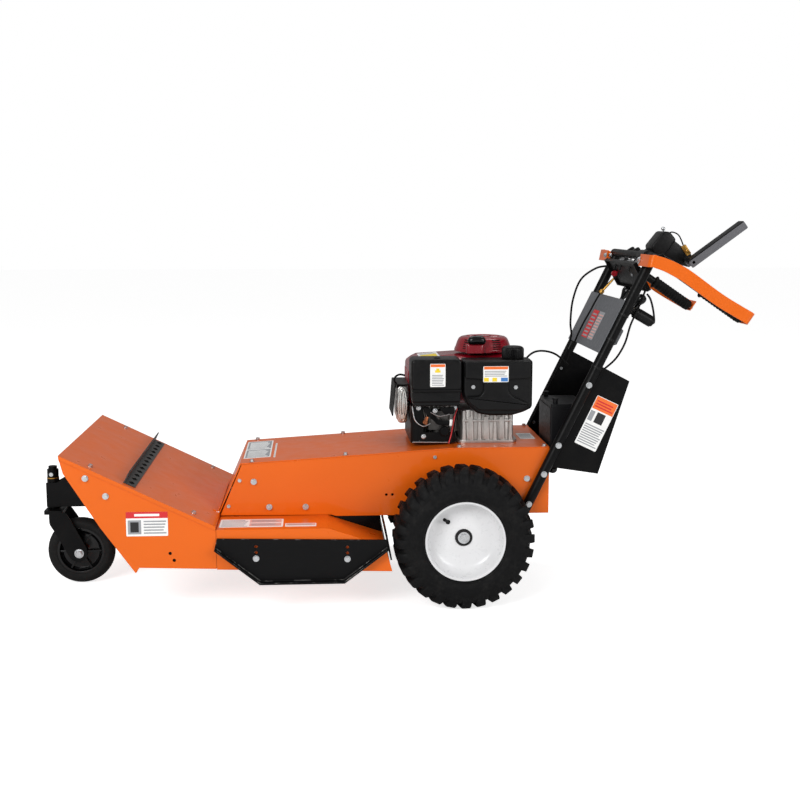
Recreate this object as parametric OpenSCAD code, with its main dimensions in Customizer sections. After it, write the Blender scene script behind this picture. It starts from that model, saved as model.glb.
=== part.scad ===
// Walk-behind brush mower: a cutting deck with a sloping hood and a front caster,
// a narrow frame with a vertical-shaft engine, two lugged drive wheels and a
// leaning handle with its controls. Everything is in millimetres.
// +X points to the operator at the rear, +Y to the machine's right, +Z up.

/* [Cutting deck] */
// Half of the deck's width, over its side skirts
deck_half = 360; // [350:1:366]
// Height of the deck's flat top
deck_top = 246; // [244:1:248]
// Thickness of the deck and hood sheet
sheet = 4; // [3:0.5:4]
// Length of the blade from tip to tip
blade_length = 640; // [560:10:650]

/* [Frame] */
// Half of the frame's width, over its side plates
frame_half = 198; // [196:1:200]
// Height of the engine's mounting surface
frame_top = 438; // [436:1:440]

/* [Wheels] */
// Outer diameter of the drive tyres
tyre_d = 406; // [400:1:408]
// Distance of each drive wheel's mid plane from the centre plane
wheel_y = 300; // [300:1:308]
// Outer diameter of the caster tyre
caster_d = 203; // [190:1:208]

/* [Handle] */
// Diameter of the two handle tubes
tube_d = 30; // [26:1:30]
// Angle by which the handle leans back, in degrees
handle_lean = 26; // [25:0.5:27]
// Diameter of the handlebar under the grips
bar_d = 25.4; // [22:0.2:25.4]

/* [Hidden] */
$fn = 48;

// Colours
ORANGE = "darkorange";
BLACK = [0.09, 0.09, 0.09];
RUBBER = [0.05, 0.05, 0.05];
GREY = [0.33, 0.33, 0.34];
ZINC = [0.78, 0.78, 0.8];
ALLOY = [0.7, 0.7, 0.7];
RED = [0.6, 0.05, 0.12];
WHITE = [0.93, 0.93, 0.93];

// Places of the main shafts (x along the machine)
axle = [205, tyre_d / 2];          // drive axle, x and height
caster_pivot_x = -1014;            // swivel axis of the caster
caster_axle = [-935, caster_d / 2];
crank_x = 300;
spindle_x = -350;
input_x = 110;                     // transaxle input shaft
blade_belt_z = 362;
drive_belt_z = 318;
crank_blade_r = 57;                // pitch radii of the pulleys
crank_drive_r = 50;
spindle_r = 76;
input_r = 65;
fit = 0.05;                        // radial clearance of a shaft in its bore
gap = 0.5;                         // clearance between pieces that stay apart

// Bolts through the sheets: [x, z, thread radius]
FRAME_BOLTS = [[-438, 352, 3], [-397, 348, 5], [-471, 276, 3], [-353, 272, 5],
  [-247, 271, 5], [133, 414, 3], [406, 347, 5]];
HOOD_BOLTS = [[-851, 398, 5], [-797, 347, 5]];
SKID_BOLTS = [[-385, 164, 5], [-129, 158, 5]];
ACCESSORY_HOLES = [[-10, 304], [8, 304]];
APRON_HOLES = [[-624, 181], [-613, 161]];
ACCESSORY_R = 4;
APRON_R = 4.7;
TUBE_BOLT_S = [23, 122, 217, 414]; // along the handle tubes
COVER_BOLTS = [[-402, 184], [-129, 184]];
PLATE_BOLTS = [[206, 184], [458, 184]];
HOOD_TOP_BOLTS = [[-842, 326], [-560, 326]];

// Hood: its top surface falls from the nose to the deck
hood_front = [-922, 463];
hood_rear_x = -497;
hood_slope = 0.486;
hood_angle = atan(hood_slope);
function hood_z(x) = hood_front[1] - hood_slope * (x - hood_front[0]);

// Belt cover: its top surface rises from the front to the engine plate
function cover_z(x) = 402 + (x + 436) * 0.0623;

// Handle: a point along the tubes, s from the foot, off towards the rear
tube_foot = [398, 255];
tube_len = 812;
tube_y = frame_half + tube_d / 2;
function on_tube(s, off = 0) = [
  tube_foot[0] + s * sin(handle_lean) + off * cos(handle_lean),
  tube_foot[1] + s * cos(handle_lean) - off * sin(handle_lean)];

// Handlebar and grips
bar_front = [755, 998];
bar_end = [992, 836];
bar_y = 258;
bar_tilt = atan2(bar_front[1] - bar_end[1], bar_end[0] - bar_front[0]);
bar_len = norm(bar_end - bar_front);
guard_y = 315;
lever_shaft = [668, 768];
paddle_pivot = [862, 984];

// ---- Shared shapes ----

// A sheet standing in the XZ plane, from y to y + t
module sheet_xz(points, y, t) {
  translate([0, y + t, 0]) rotate([90, 0, 0]) linear_extrude(t) polygon(points);
}

// The same shape on both sides of the machine
module both() {
  children();
  mirror([0, 1, 0]) children();
}

// A round bar from a to b
module bar(a, b, r) {
  d = b - a;
  l = norm(d);
  translate(a) rotate([0, acos(d[2] / l), atan2(d[1], d[0])]) cylinder(h = l, r = r);
}

// A round bar across the machine, from y0 to y1
module cross_bar(p, y0, y1, r) {
  translate([p[0], y0, p[1]]) rotate([-90, 0, 0]) cylinder(h = y1 - y0, r = r);
}

function unit(v) = v / norm(v);

// An outline with its corners rounded: r is cut back from each corner
function soft(p, r, n = 4) = [
  for (i = [0 : len(p) - 1])
    let (v = p[i], a = v + r * unit(p[(i + len(p) - 1) % len(p)] - v),
         b = v + r * unit(p[(i + 1) % len(p)] - v))
      for (k = [0 : n]) let (t = k / n) (1 - t) * (1 - t) * a + 2 * t * (1 - t) * v + t * t * b];

function rect(x0, y0, x1, y1) = [[x0, y0], [x1, y0], [x1, y1], [x0, y1]];

// A block with rounded upright edges
module soft_block(x0, y0, x1, y1, z0, z1, r) {
  translate([0, 0, z0]) linear_extrude(z1 - z0) polygon(soft(rect(x0, y0, x1, y1), r));
}

// A block between two corners
module block(a, b) {
  translate(a) cube(b - a);
}

// A hexagon-headed bolt with a washer: its head stands on z = 0 and its shank goes down
module bolt(r, shank) {
  cylinder(h = 1.5, r = r * 1.8);
  translate([0, 0, 1.5]) cylinder(h = r * 1.3, r = r * 1.55, $fn = 6);
  translate([0, 0, -shank]) cylinder(h = shank + 1, r = r - 0.4);
}

// Bolts and their holes through a side at distance y from the centre plane
module side_bolts(list, y, shank) {
  for (b = list) both() translate([b[0], -y, b[1]]) rotate([90, 0, 0]) bolt(b[2], shank);
}

module side_holes(list, y0, y1) {
  for (b = list) both() cross_bar(b, -y1, -y0, b[2]);
}

// ---- Frame ----

FRAME_OUTLINE = [[-431, 399], [192, frame_top], [472, frame_top], [472, 242], [-158, 242],
  [-172, deck_top + 0.4], [-495, 249]];

module frame_side() {
  difference() {
    union() {
      sheet_xz(FRAME_OUTLINE, -frame_half, sheet);
      sheet_xz([[-428, 399], [192, frame_top], [472, frame_top], [472, frame_top - sheet],
        [192, frame_top - sheet], [-428, 399 - sheet]], -frame_half, 28);
      block([-158, -frame_half, 242], [472, -frame_half + 24, 246]);
      block([-440, -frame_half, 249], [-172, -frame_half + 24, 253]);
    }
    side_holes(FRAME_BOLTS, 190, 210);
    for (s = [TUBE_BOLT_S[0], TUBE_BOLT_S[1]]) cross_bar(on_tube(s), -210, -190, 5);
    for (h = ACCESSORY_HOLES) cross_bar(h, -210, -190, ACCESSORY_R);
    for (b = concat(COVER_BOLTS, PLATE_BOLTS)) translate([b[0], -b[1], 380]) cylinder(h = 80, r = 4);
  }
}

module frame_sides() {
  color(ORANGE) both() frame_side();
}

// Bridge for the idler, front angle over the deck and rear closing panel
module frame_crossmembers() {
  inner = frame_half - sheet - gap;
  color(BLACK) {
    difference() {
      block([-20, -inner, 338], [160, inner, 342]);
      translate([100, 160, 300]) cylinder(h = 80, r = 10 + fit);
    }
    difference() {
      union() {
        block([-214, -inner, 253.4], [-210, inner, 310]);
        block([-244, -inner, 306], [-210, inner, 310]);
        both() block([-262, -inner, 256], [-210, -inner + 4, 310]);
      }
      side_holes([[-247, 271, 6]], 180, 200);
    }
    difference() {
      block([468 - sheet, -inner, 250], [472 - sheet, inner, 430]);
      translate([440, -60, 347]) rotate([0, 90, 0]) cylinder(h = 40, r = 5 + fit);
    }
  }
}

module engine_deck_plate() {
  color(ORANGE) difference() {
    block([192.5, -frame_half + 2, frame_top], [472, frame_half - 2, frame_top + 3]);
    translate([crank_x, 0, frame_top - 5]) cylinder(h = 20, r = 60);
    for (b = PLATE_BOLTS) both() translate([b[0], -b[1], frame_top - 5]) cylinder(h = 20, r = 4);
  }
}

module belt_cover() {
  front = [[191.5, cover_z(191.5)], [-436, 402], [-503, 250], [-500, 250], [-433, 399],
    [191.5, cover_z(191.5) - 3]];
  color(ORANGE) difference() {
    sheet_xz(front, -frame_half + 2, 2 * frame_half - 4);
    for (b = COVER_BOLTS) both() translate([b[0], -b[1], 380]) cylinder(h = 80, r = 4);
  }
}

// ---- Deck and hood ----

module mower_deck() {
  side = [[-495, deck_top], [-183, deck_top], [-22, 191], [-2, 118], [-495, 132]];
  top = [[-495, deck_top], [-183, deck_top], [-22, 191], [-22, 191 - sheet],
    [-184, deck_top - sheet], [-495, deck_top - sheet]];
  rear_lip = [[-22, 191], [-8, 140], [-12, 140], [-26, 190]];
  low_flange = [[-495, 132], [-13, 118.3], [-13, 122.3], [-495, 136]];
  color(ORANGE) difference() {
    union() {
      sheet_xz(top, -deck_half, 2 * deck_half);
      sheet_xz(rear_lip, -deck_half, 2 * deck_half);
      both() sheet_xz(side, -deck_half, sheet);
      both() sheet_xz(low_flange, -deck_half, 22);
    }
    side_holes(SKID_BOLTS, deck_half - 10, deck_half + 10);
    for (b = SKID_BOLTS, k = [1, 2]) both() cross_bar([b[0], b[1] + 17 * k], -370, -350, 4);
    translate([spindle_x, 0, 200]) cylinder(h = 60, r = 48 + gap);
    for (a = [45 : 90 : 315]) translate([spindle_x, 0, 200]) rotate(a) translate([72, 0, 0])
      cylinder(h = 60, r = 5);
  }
}

module hood_top() {
  skin = [[hood_front[0], hood_front[1]], [hood_rear_x, hood_z(hood_rear_x)],
    [hood_rear_x, hood_z(hood_rear_x) - sheet], [hood_front[0], hood_front[1] - sheet]];
  lip = [[hood_front[0], hood_front[1]], [hood_rear_x, hood_z(hood_rear_x)],
    [hood_rear_x, hood_z(hood_rear_x) - 12], [hood_front[0] + 1, hood_front[1] - 12]];
  nose = [[-922, 463], [-918, 459], [-917, 444], [-921, 444], [-922.5, 450]];
  rear = [[hood_rear_x - 3, hood_z(hood_rear_x)], [hood_rear_x, hood_z(hood_rear_x)],
    [hood_rear_x, deck_top - 3], [hood_rear_x - 3, deck_top - 3]];
  color(ORANGE) difference() {
    union() {
      sheet_xz(skin, -deck_half - 3, 2 * deck_half + 6);
      both() sheet_xz(lip, -deck_half - 3, 3 - gap / 5);
      sheet_xz(nose, -deck_half + 5, 2 * deck_half - 10);
      sheet_xz(rear, -deck_half + 5, 2 * deck_half - 10);
    }
    block([-509, -frame_half, 200], [-490, frame_half, 300]);
    for (b = HOOD_TOP_BOLTS) both() translate([b[0], -b[1], hood_z(b[0])])
      rotate([0, hood_angle, 0]) translate([0, 0, -20]) cylinder(h = 40, r = 4);
  }
}

module hood_side() {
  side = [[-918, hood_z(-918) - 5], [-919, 444], [-911, 412], [-815, 258], [-721, 126], [-710, 141],
    [-496, 134], [-496, hood_z(-496) - 5]];
  front_flange = [[-815, 258], [-721, 126], [-717.6, 128.4], [-811.6, 260.4]];
  low_flange = [[-708, 141], [-496, 134], [-496, 138], [-708, 145]];
  difference() {
    union() {
      sheet_xz(side, -deck_half, sheet);
      sheet_xz(front_flange, -deck_half, 26);
      sheet_xz(low_flange, -deck_half, 22);
    }
    side_holes(HOOD_BOLTS, deck_half - 10, deck_half + 10);
    for (h = APRON_HOLES) cross_bar(h, -deck_half - 10, -deck_half + 10, APRON_R);
  }
}

module hood_sides() {
  color(ORANGE) both() hood_side();
}

// Serrated grip strip: an angle with diamond holes and a toothed upper edge
module grip_bar() {
  half = 339;
  pitch = 26;
  count = 12;
  diamond = [[0, -17], [10, 0], [0, 17], [-10, 0]];
  teeth = concat([[half, -1.4], [-half, -1.4], [-half, 26]],
    [for (i = [-count : count]) for (p = [[i * pitch - 6, 26], [i * pitch, 33], [i * pitch + 6, 26]]) p],
    [[half, 26]]);
  color(ZINC) translate([-735, 0, hood_z(-735)]) rotate([0, hood_angle, 0]) difference() {
    union() {
      translate([-18, -half, 0.3]) cube([36, 2 * half, 3]);
      translate([-17, 0, 2.2]) rotate([90, 0, 90]) linear_extrude(3) polygon(teeth);
    }
    for (i = [-6 : 6]) translate([3, i * 2 * pitch, -2]) linear_extrude(8) polygon(diamond);
  }
}

SKID_OUTLINE = [[-493, 222], [-501, 192], [-375, 92], [-137, 92], [-13, 185], [-19, 211]];

// Skid shoe: a plate on the deck's side with an outward runner along its lower edge
module skid_shoe() {
  runner = [[-501, 192], [-375, 92], [-137, 92], [-13, 185], [-15.5, 189.5], [-138.5, 97.5],
    [-373.5, 97.5], [-499, 196.5]];
  difference() {
    union() {
      sheet_xz(SKID_OUTLINE, -deck_half - 6, 6 - gap / 5);
      sheet_xz(runner, -deck_half - 26, 22);
    }
    side_holes(SKID_BOLTS, deck_half - 10, deck_half + 10);
    for (b = SKID_BOLTS, k = [1, 2]) cross_bar([b[0], b[1] + 17 * k], -380, -350, 4.5);
  }
}

module skid_shoes() {
  color(BLACK) both() skid_shoe();
}

// Deflector behind the deck
module rear_flap() {
  color(BLACK) sheet_xz([[-24, 240], [-19, 240], [-2, 150], [-7, 150]], -357, 714);
}

// ---- Caster ----

module caster_bracket() {
  arm = [[-1031, 242], [-1031, 316], [-1000, 316], [-975, 330], [-920, 372], [-862, 409],
    [-786, 337], [-800, 320], [-905, 242]];
  beam = [[-862, 411], [-786, 339], [-790, 335], [-805, 350], [-850, 392], [-866, 407]];
  end = [[-866, 407], [-857, 416], [-782, 345], [-791, 333]];
  color(BLACK) difference() {
    union() {
      translate([caster_pivot_x, 0, 242]) cylinder(h = 84, r = 18);
      both() sheet_xz(arm, -24, 6);
      sheet_xz(beam, -deck_half + 4 + gap, 2 * deck_half - 8 - 2 * gap);
      both() sheet_xz(end, -deck_half + 4 + gap, 6);
    }
    translate([caster_pivot_x, 0, 200]) cylinder(h = 200, r = 12.7 + fit);
    side_holes(HOOD_BOLTS, deck_half - 20, deck_half);
  }
}

module caster_fork() {
  leg = soft([[-1021, 229], [-1021, 194], [-1004, 166], [-960, 82], [-935, 72], [-910, 90],
    [-912, 118], [-954, 199], [-974, 229]], 8);
  color(BLACK) difference() {
    union() {
      both() sheet_xz(leg, -48, 6);
      soft_block(-1036, -48, -980, 48, 223, 234, 6);
      translate([caster_pivot_x, 0, 226]) cylinder(h = 138, r = 12.7);
      translate([caster_pivot_x, 0, 330]) cylinder(h = 24, r = 17);
      translate([caster_pivot_x, 0, 236]) cylinder(h = 5.6, r = 19);
      cross_bar(caster_axle, -43, 43, 7.9);
    }
    translate([caster_pivot_x, 0, 342]) rotate([90, 0, 0]) cylinder(h = 60, r = 3 + fit, center = true);
  }
}

module caster_tyre() {
  r = caster_d / 2;
  half = 25;
  profile = concat([[72, -20]], [for (a = [-75 : 15 : 75]) [r - 22 + 22 * cos(a), half * sin(a)]],
    [[72, 20]]);
  color(RUBBER) translate([caster_axle[0], 0, caster_axle[1]]) rotate([90, 0, 0])
    rotate_extrude($fn = 96) polygon(profile);
}

module caster_hub() {
  color(BLACK) translate([caster_axle[0], 0, caster_axle[1]]) rotate([90, 0, 0]) difference() {
    union() {
      rotate_extrude() polygon([[7.9 + fit, -37], [20, -37], [22, -12], [58, -8], [64, -21], [71.9, -21],
        [71.9, 21], [64, 21], [58, 8], [22, 12], [20, 37], [7.9 + fit, 37]]);
      for (a = [0 : 60 : 300]) rotate(a) translate([40, 0, 0]) cube([40, 4, 30], center = true);
    }
    cylinder(h = 80, r = 7.9 + fit, center = true);
  }
}

module lynch_pin() {
  color(ZINC) {
    translate([caster_pivot_x, 28, 342]) rotate([90, 0, 0]) cylinder(h = 52, r = 3);
    translate([caster_pivot_x, -24, 342]) rotate([90, 0, 0]) cylinder(h = 4, r = 6);
    translate([caster_pivot_x - 10, 30, 342]) rotate([90, 0, 0]) rotate_extrude() translate([12, 0])
      circle(r = 1.6);
  }
}

// ---- Engine ----

engine_z = frame_top + 3;

module engine_crankcase() {
  color(ALLOY) difference() {
    union() {
      soft_block(206, -124, 390, 124, engine_z, engine_z + 10, 30);
      soft_block(214, -116, 382, 116, engine_z + 10, 542, 34);
      for (x = [232 : 24 : 364], s = [-1, 1])
        translate([x, s * 112, engine_z + 10]) cylinder(h = 84, r = 8);
      translate([98, -52, 466]) cube([120, 104, 88]);
      for (x = [100 : 13 : 204]) translate([x, -66, 456]) cube([5, 132, 98]);
      soft_block(78, -58, 100, 58, 462, 554, 8);
    }
    translate([crank_x, 0, engine_z - 1]) cylinder(h = 40, r = 12.7 + fit);
  }
}

// Outside of the fan cover, with a domed top that rises to the rear, made smaller all round by cut
module fan_dome(cut) {
  plan = rect(66 + cut, -70 + cut, 398 - cut, 150 - cut);
  translate([0, 0, 556]) linear_extrude(116 - cut) polygon(soft(plan, 36, 6));
  hull() {
    translate([0, 0, 672 - cut]) linear_extrude(1) polygon(soft(plan, 36, 6));
    translate([0, 0, 688 - cut]) linear_extrude(1)
      polygon(soft(rect(78 + cut, -62 + cut, 390 - cut, 138 - cut), 30, 6));
    translate([0, 0, 706 - cut]) linear_extrude(1)
      polygon(soft(rect(196 + cut, -50 + cut, 384 - cut, 110 - cut), 30, 6));
  }
}

// Cover over the flywheel fan: a shell that is open towards the crankcase
module fan_cover() {
  color(RED) difference() {
    fan_dome(0);
    translate([0, 0, -1]) fan_dome(4);
  }
}

module recoil_housing() {
  color(RED) translate([crank_x, 20, 707]) difference() {
    union() {
      rotate_extrude() polygon([[0, 0], [88, 0], [86, 10], [74, 38], [66, 42], [0, 44]]);
      translate([-58, -100, 0]) cube([50, 60, 24]);
    }
    for (a = [-70 : 14 : 70]) rotate(a - 50) translate([80, -2, 12]) cube([30, 5, 26]);
    translate([-34, -60, 36]) rotate([90, 0, 0]) cylinder(h = 60, r = 4);
  }
}

// Pull grip of the recoil starter, with the first of its rope
module recoil_grip() {
  at = [266, -82, 743];
  color(BLACK) {
    translate(at) rotate([0, 90, 0]) cylinder(h = 52, r = 11, center = true);
    translate(at) rotate([-90, 0, 0]) cylinder(h = 24, r1 = 9, r2 = 7);
  }
}

TANK_BOLTS = [[248, 617], [374, 615]];

module fuel_tank() {
  outline = soft([[219, 695], [423, 695], [423, 584], [392, 545], [262, 543], [238, 566],
    [219, 596]], 13);
  color(BLACK) difference() {
    sheet_xz(outline, -178, 104);
    for (b = TANK_BOLTS) cross_bar(b, -180, -164, 22);
    for (b = TANK_BOLTS) cross_bar(b, -165, -150, 4);
    translate([371, -122, 688]) cylinder(h = 20, r = 24);
  }
}

module fuel_cap() {
  color(BLACK) translate([371, -122, 0]) {
    translate([0, 0, 689]) cylinder(h = 8, r = 23);
    translate([0, 0, 696]) cylinder(h = 32, r = 31);
    for (a = [0 : 20 : 340]) rotate(a) translate([31, 0, 696]) cylinder(h = 28, r = 2.4);
    translate([0, 0, 728]) cylinder(h = 5, r1 = 31, r2 = 24);
  }
}

module air_cleaner_cover() {
  outline = soft([[64, 561], [64, 700], [215, 700], [215, 561]], 14);
  lower = soft([[70, 561], [70, 592], [210, 592], [210, 561]], 8);
  color(BLACK) {
    sheet_xz(outline, -175, 101);
    sheet_xz(lower, -179, 8);
  }
}

module carburettor() {
  color(ALLOY) {
    block([120, -128, 484], [178, -82, 540]);
    translate([150, -105, 462]) cylinder(h = 23, r = 18);
    cross_bar([138, 520], -146, -127, 12);
    cross_bar([166, 508], -140, -127, 8);
  }
}

// Black shroud round the lower part of the cylinder
module engine_shroud() {
  color(BLACK) difference() {
    soft_block(66, -140, 204, 128, 446, 555.5, 20);
    soft_block(70, -136, 212, 124, 450, 560, 18);
    block([200, -120, 440], [210, 120, 560]);
    block([104, -150, 478], [198, -130, 562]);
  }
}

module muffler() {
  body = soft([[30, 498], [30, 610], [60, 610], [60, 498]], 14, 5);
  color(ALLOY) {
    sheet_xz(body, -88, 166);
    translate([59, 0, 540]) rotate([0, 90, 0]) cylinder(h = 6.5, r = 20);
    bar([45, -87, 520], [45, -100, 520], 9);
  }
}

// Heat guard: a slotted plate in front of the muffler, held by a flange over its top
module muffler_guard() {
  plate = [[19, 616], [64, 616], [64, 613], [22, 613], [16, 518], [13, 518]];
  color(BLACK) difference() {
    sheet_xz(plate, -88, 168);
    for (y = [-72 : 28 : 60]) block([4, y, 534], [26, y + 14, 600]);
  }
}

// ---- Drive ----

// V-groove pulley about its own axis: pitch radius, bore
module pulley(r, bore) {
  rotate_extrude($fn = 96) polygon([[bore, -12], [r + 7, -12], [r + 7, -8.5], [r - 8, -5.6],
    [r - 8, 5.6], [r + 7, 8.5], [r + 7, 12], [bore, 12]]);
}

module crankshaft_pulley() {
  color(ZINC) translate([crank_x, 0, 0]) {
    translate([0, 0, 304]) cylinder(h = 470 - 304, r = 12.7);
    translate([0, 0, blade_belt_z]) pulley(crank_blade_r, 12);
    translate([0, 0, drive_belt_z]) pulley(crank_drive_r, 12);
    translate([0, 0, drive_belt_z]) cylinder(h = blade_belt_z - drive_belt_z, r = 26);
  }
}

// Outline of a belt round two pulleys on the x axis, the first at xa, the second at xb < xa
function loop_points(xa, ra, xb, rb) = let (t = asin((rb - ra) / (xa - xb))) concat(
  [for (a = [-90 - t : (180 + 2 * t) / 24 : 90 + t + 0.01]) [xa + ra * cos(a), ra * sin(a)]],
  [for (a = [90 + t : (180 - 2 * t) / 24 : 270 - t + 0.01]) [xb + rb * cos(a), rb * sin(a)]]);

module belt_loop(xa, ra, xb, rb, z) {
  translate([0, 0, z - 5]) difference() {
    linear_extrude(10) polygon(loop_points(xa, ra + 4.5, xb, rb + 4.5));
    translate([0, 0, -1]) linear_extrude(12) polygon(loop_points(xa, ra - 4.5, xb, rb - 4.5));
  }
}

module belts() {
  color(RUBBER) {
    belt_loop(crank_x, crank_blade_r, spindle_x, spindle_r, blade_belt_z);
    belt_loop(crank_x, crank_drive_r, input_x, input_r, drive_belt_z);
  }
}

module spindle_housing() {
  color(ALLOY) translate([spindle_x, 0, 0]) difference() {
    union() {
      translate([0, 0, deck_top]) cylinder(h = 9, r = 90);
      translate([0, 0, 214]) cylinder(h = 120, r = 48);
      for (a = [0 : 90 : 270]) rotate(a) translate([44, -4, deck_top + 8]) cube([42, 8, 26]);
    }
    translate([0, 0, 200]) cylinder(h = 150, r = 15 + fit);
    for (a = [45 : 90 : 315]) rotate(a) translate([72, 0, 200]) cylinder(h = 80, r = 5);
  }
}

module spindle_shaft() {
  color(ZINC) translate([spindle_x, 0, 0]) {
    translate([0, 0, 132]) cylinder(h = 10, r = 19, $fn = 6);
    translate([0, 0, 141]) cylinder(h = 244, r = 15);
    translate([0, 0, 158]) cylinder(h = 50, r = 36);
    translate([0, 0, 378]) cylinder(h = 8, r = 21, $fn = 6);
  }
}

module spindle_pulley() {
  color(ZINC) translate([spindle_x, 0, blade_belt_z]) difference() {
    pulley(spindle_r, 15 + fit);
    for (a = [0 : 60 : 300]) rotate(a) translate([44, 0, -20]) cylinder(h = 40, r = 11);
  }
}

module blade() {
  half = blade_length / 2;
  edge = [[-half, -36], [-half + 8, 30], [-half + 150, 38], [half, 36], [half - 8, -30],
    [half - 150, -38]];
  color(GREY) translate([spindle_x, 0, 146]) rotate(20) difference() {
    union() {
      linear_extrude(11) polygon(edge);
      for (a = [0, 180]) rotate(a) translate([half - 90, 20, 9]) rotate([24, 0, 0]) cube([84, 24, 5]);
    }
    translate([0, 0, -5]) cylinder(h = 30, r = 15 + fit);
  }
}

IDLER_PIVOT = [100, 160];
IDLER_AT = [0, 112];
idler_r = 36;

module idler_arm() {
  color(BLACK) {
    hull() {
      translate([IDLER_PIVOT[0], IDLER_PIVOT[1], 377]) cylinder(h = 6, r = 16, $fn = 32);
      translate([IDLER_AT[0], IDLER_AT[1], 377]) cylinder(h = 6, r = 14, $fn = 32);
    }
    translate([IDLER_PIVOT[0], IDLER_PIVOT[1], 330]) cylinder(h = 62, r = 10);
    translate([IDLER_AT[0], IDLER_AT[1], 348]) cylinder(h = 30, r = 6);
    translate([IDLER_AT[0], IDLER_AT[1], 346]) cylinder(h = 3, r = 10);
  }
}

module idler_pulley() {
  color(ZINC) translate([IDLER_AT[0], IDLER_AT[1], blade_belt_z]) rotate_extrude()
    polygon([[6 + fit, -10], [idler_r + 5, -10], [idler_r + 5, -8], [idler_r, -7], [idler_r, 7],
      [idler_r + 5, 8], [idler_r + 5, 10], [6 + fit, 10]]);
}

// Extension spring that pulls the idler arm onto the belt
module idler_spring() {
  color(ZINC) translate([114, 176, 386]) rotate([0, 0, -4]) {
    for (i = [0 : 11]) translate([14 + i * 6, 0, 0]) rotate([0, 90, 0]) rotate_extrude()
      translate([6, 0]) circle(r = 2.9);
    translate([0, 4, 0]) rotate([0, 90, 0]) cylinder(h = 100, r = 2);
  }
}

module transaxle() {
  color(ALLOY) difference() {
    union() {
      soft_block(92, -92, 290, 92, 138, 262, 24);
      translate([input_x, 0, 260]) cylinder(h = 26, r = 22);
      both() cross_bar(axle, -188, -90, 28);
      both() block([165, -188, 228], [245, -150, 242]);
      for (x = [130 : 26 : 260]) block([x, -97, 150], [x + 5, 97, 240]);
    }
    both() cross_bar(axle, -200, -110, 13 + fit);
    translate([input_x, 0, 240]) cylinder(h = 60, r = 9 + fit);
  }
}

module transaxle_pulley() {
  color(BLACK) translate([input_x, 0, 0]) {
    translate([0, 0, 244]) cylinder(h = 90, r = 9);
    translate([0, 0, drive_belt_z]) pulley(input_r, 8);
    translate([0, 0, 290]) cylinder(h = 4, r = 78);
    for (a = [0 : 36 : 324]) rotate(a) translate([30, -2, 293]) cube([46, 4, 9]);
  }
}

// ---- Drive wheels ----

TREAD_LUGS = 28;

module tyre() {
  r = tyre_d / 2;
  carcase = r - 13;
  profile = [[108, -59.4], [112.6, -61.5], [115.6, -72], [130, -78], [155, -80], [175, -76],
    [carcase - 3, -64], [carcase, -45], [carcase + 1, 0], [carcase, 45], [carcase - 3, 64],
    [175, 76], [155, 80], [130, 78], [115.6, 72], [112.6, 61.5], [108, 59.4]];
  rotate_extrude($fn = 96) polygon(profile);
  intersection() {
    for (i = [0 : TREAD_LUGS - 1], s = [-1, 1]) rotate(i * 360 / TREAD_LUGS)
      translate([carcase - 4, 0, s * 37]) rotate([-s * 10, 0, 0]) cube([38, 22, 62], center = true);
    rotate_extrude($fn = 96) polygon([[carcase - 15, -68], [r - 3, -68], [r, -60], [r, 60], [r - 3, 68],
      [carcase - 15, 68]]);
  }
}

module wheel_at(side) {
  translate([axle[0], side * wheel_y, axle[1]]) rotate([-90 * side, 0, 0]) children();
}

// Dished disc rim with its hub; the outside faces +z before it is placed
module rim() {
  shell = [[107, -70], [113, -74], [115, -72], [112, -62], [107.6, -60], [107.6, -40], [96, -10],
    [96, 14], [107.6, 40], [107.6, 60], [112, 62], [115, 72], [113, 74], [107, 70], [103, 44],
    [91, 22], [60, 16], [13, 16], [13, 10], [60, 10], [90, 12], [92, -10], [103, -42]];
  rotate_extrude($fn = 96) polygon(shell);
  difference() {
    translate([0, 0, -60]) cylinder(h = 80, r = 34);
    translate([0, 0, -61]) cylinder(h = 72, r = 20);
  }
  translate([0, 0, -185]) cylinder(h = 206, r = 13);
  translate([0, 0, 20]) cylinder(h = 5, r = 24);
  translate([0, 0, 25]) cylinder(h = 8, r = 13, $fn = 6);
  translate([-46, 46, 13]) rotate([0, 34, 135]) cylinder(h = 38, r = 5);
}

module tyre_left() { color(RUBBER) wheel_at(-1) tyre(); }
module tyre_right() { color(RUBBER) wheel_at(1) tyre(); }
module rim_left() { color(WHITE) wheel_at(-1) rim(); }
module rim_right() { color(WHITE) wheel_at(1) rim(); }

// ---- Handle ----

module handle_tube() {
  foot = on_tube(0);
  top = on_tube(tube_len);
  difference() {
    bar([foot[0], -tube_y, foot[1]], [top[0], -tube_y, top[1]], tube_d / 2);
    bar([foot[0] - 5, -tube_y, foot[1] - 10], [top[0] + 5, -tube_y, top[1] + 10], tube_d / 2 - 3);
    for (s = TUBE_BOLT_S) cross_bar(on_tube(s), -240, -190, 5);
    cross_bar(bar_front, -240, -190, bar_d / 2 + fit);
  }
}

module handle_tubes() {
  color(BLACK) both() handle_tube();
}

// One bent bar: across the top of the tubes, then back and down under each grip
module handlebar() {
  color(BLACK) {
    cross_bar(bar_front, -bar_y, bar_y, bar_d / 2);
    both() {
      bar([bar_front[0], -bar_y, bar_front[1]], [bar_end[0], -bar_y, bar_end[1]], bar_d / 2);
      translate([bar_front[0], -bar_y, bar_front[1]]) sphere(r = bar_d / 2 + 0.8);
    }
  }
}

// Places children along a handlebar arm: x runs down the arm from its front end
module on_bar() {
  translate([bar_front[0], -bar_y, bar_front[1]]) rotate([0, bar_tilt, 0]) children();
}

module hand_grips() {
  color(RUBBER) both() on_bar() rotate([0, 90, 0]) translate([0, 0, bar_len - 145]) difference() {
    union() {
      cylinder(h = 142, r = 16.5);
      cylinder(h = 6, r = 21);
      for (k = [1 : 9]) translate([0, 0, 8 + k * 13]) cylinder(h = 6, r = 17.4);
    }
    translate([0, 0, -1]) cylinder(h = 150, r = bar_d / 2 + fit);
  }
}

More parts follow.
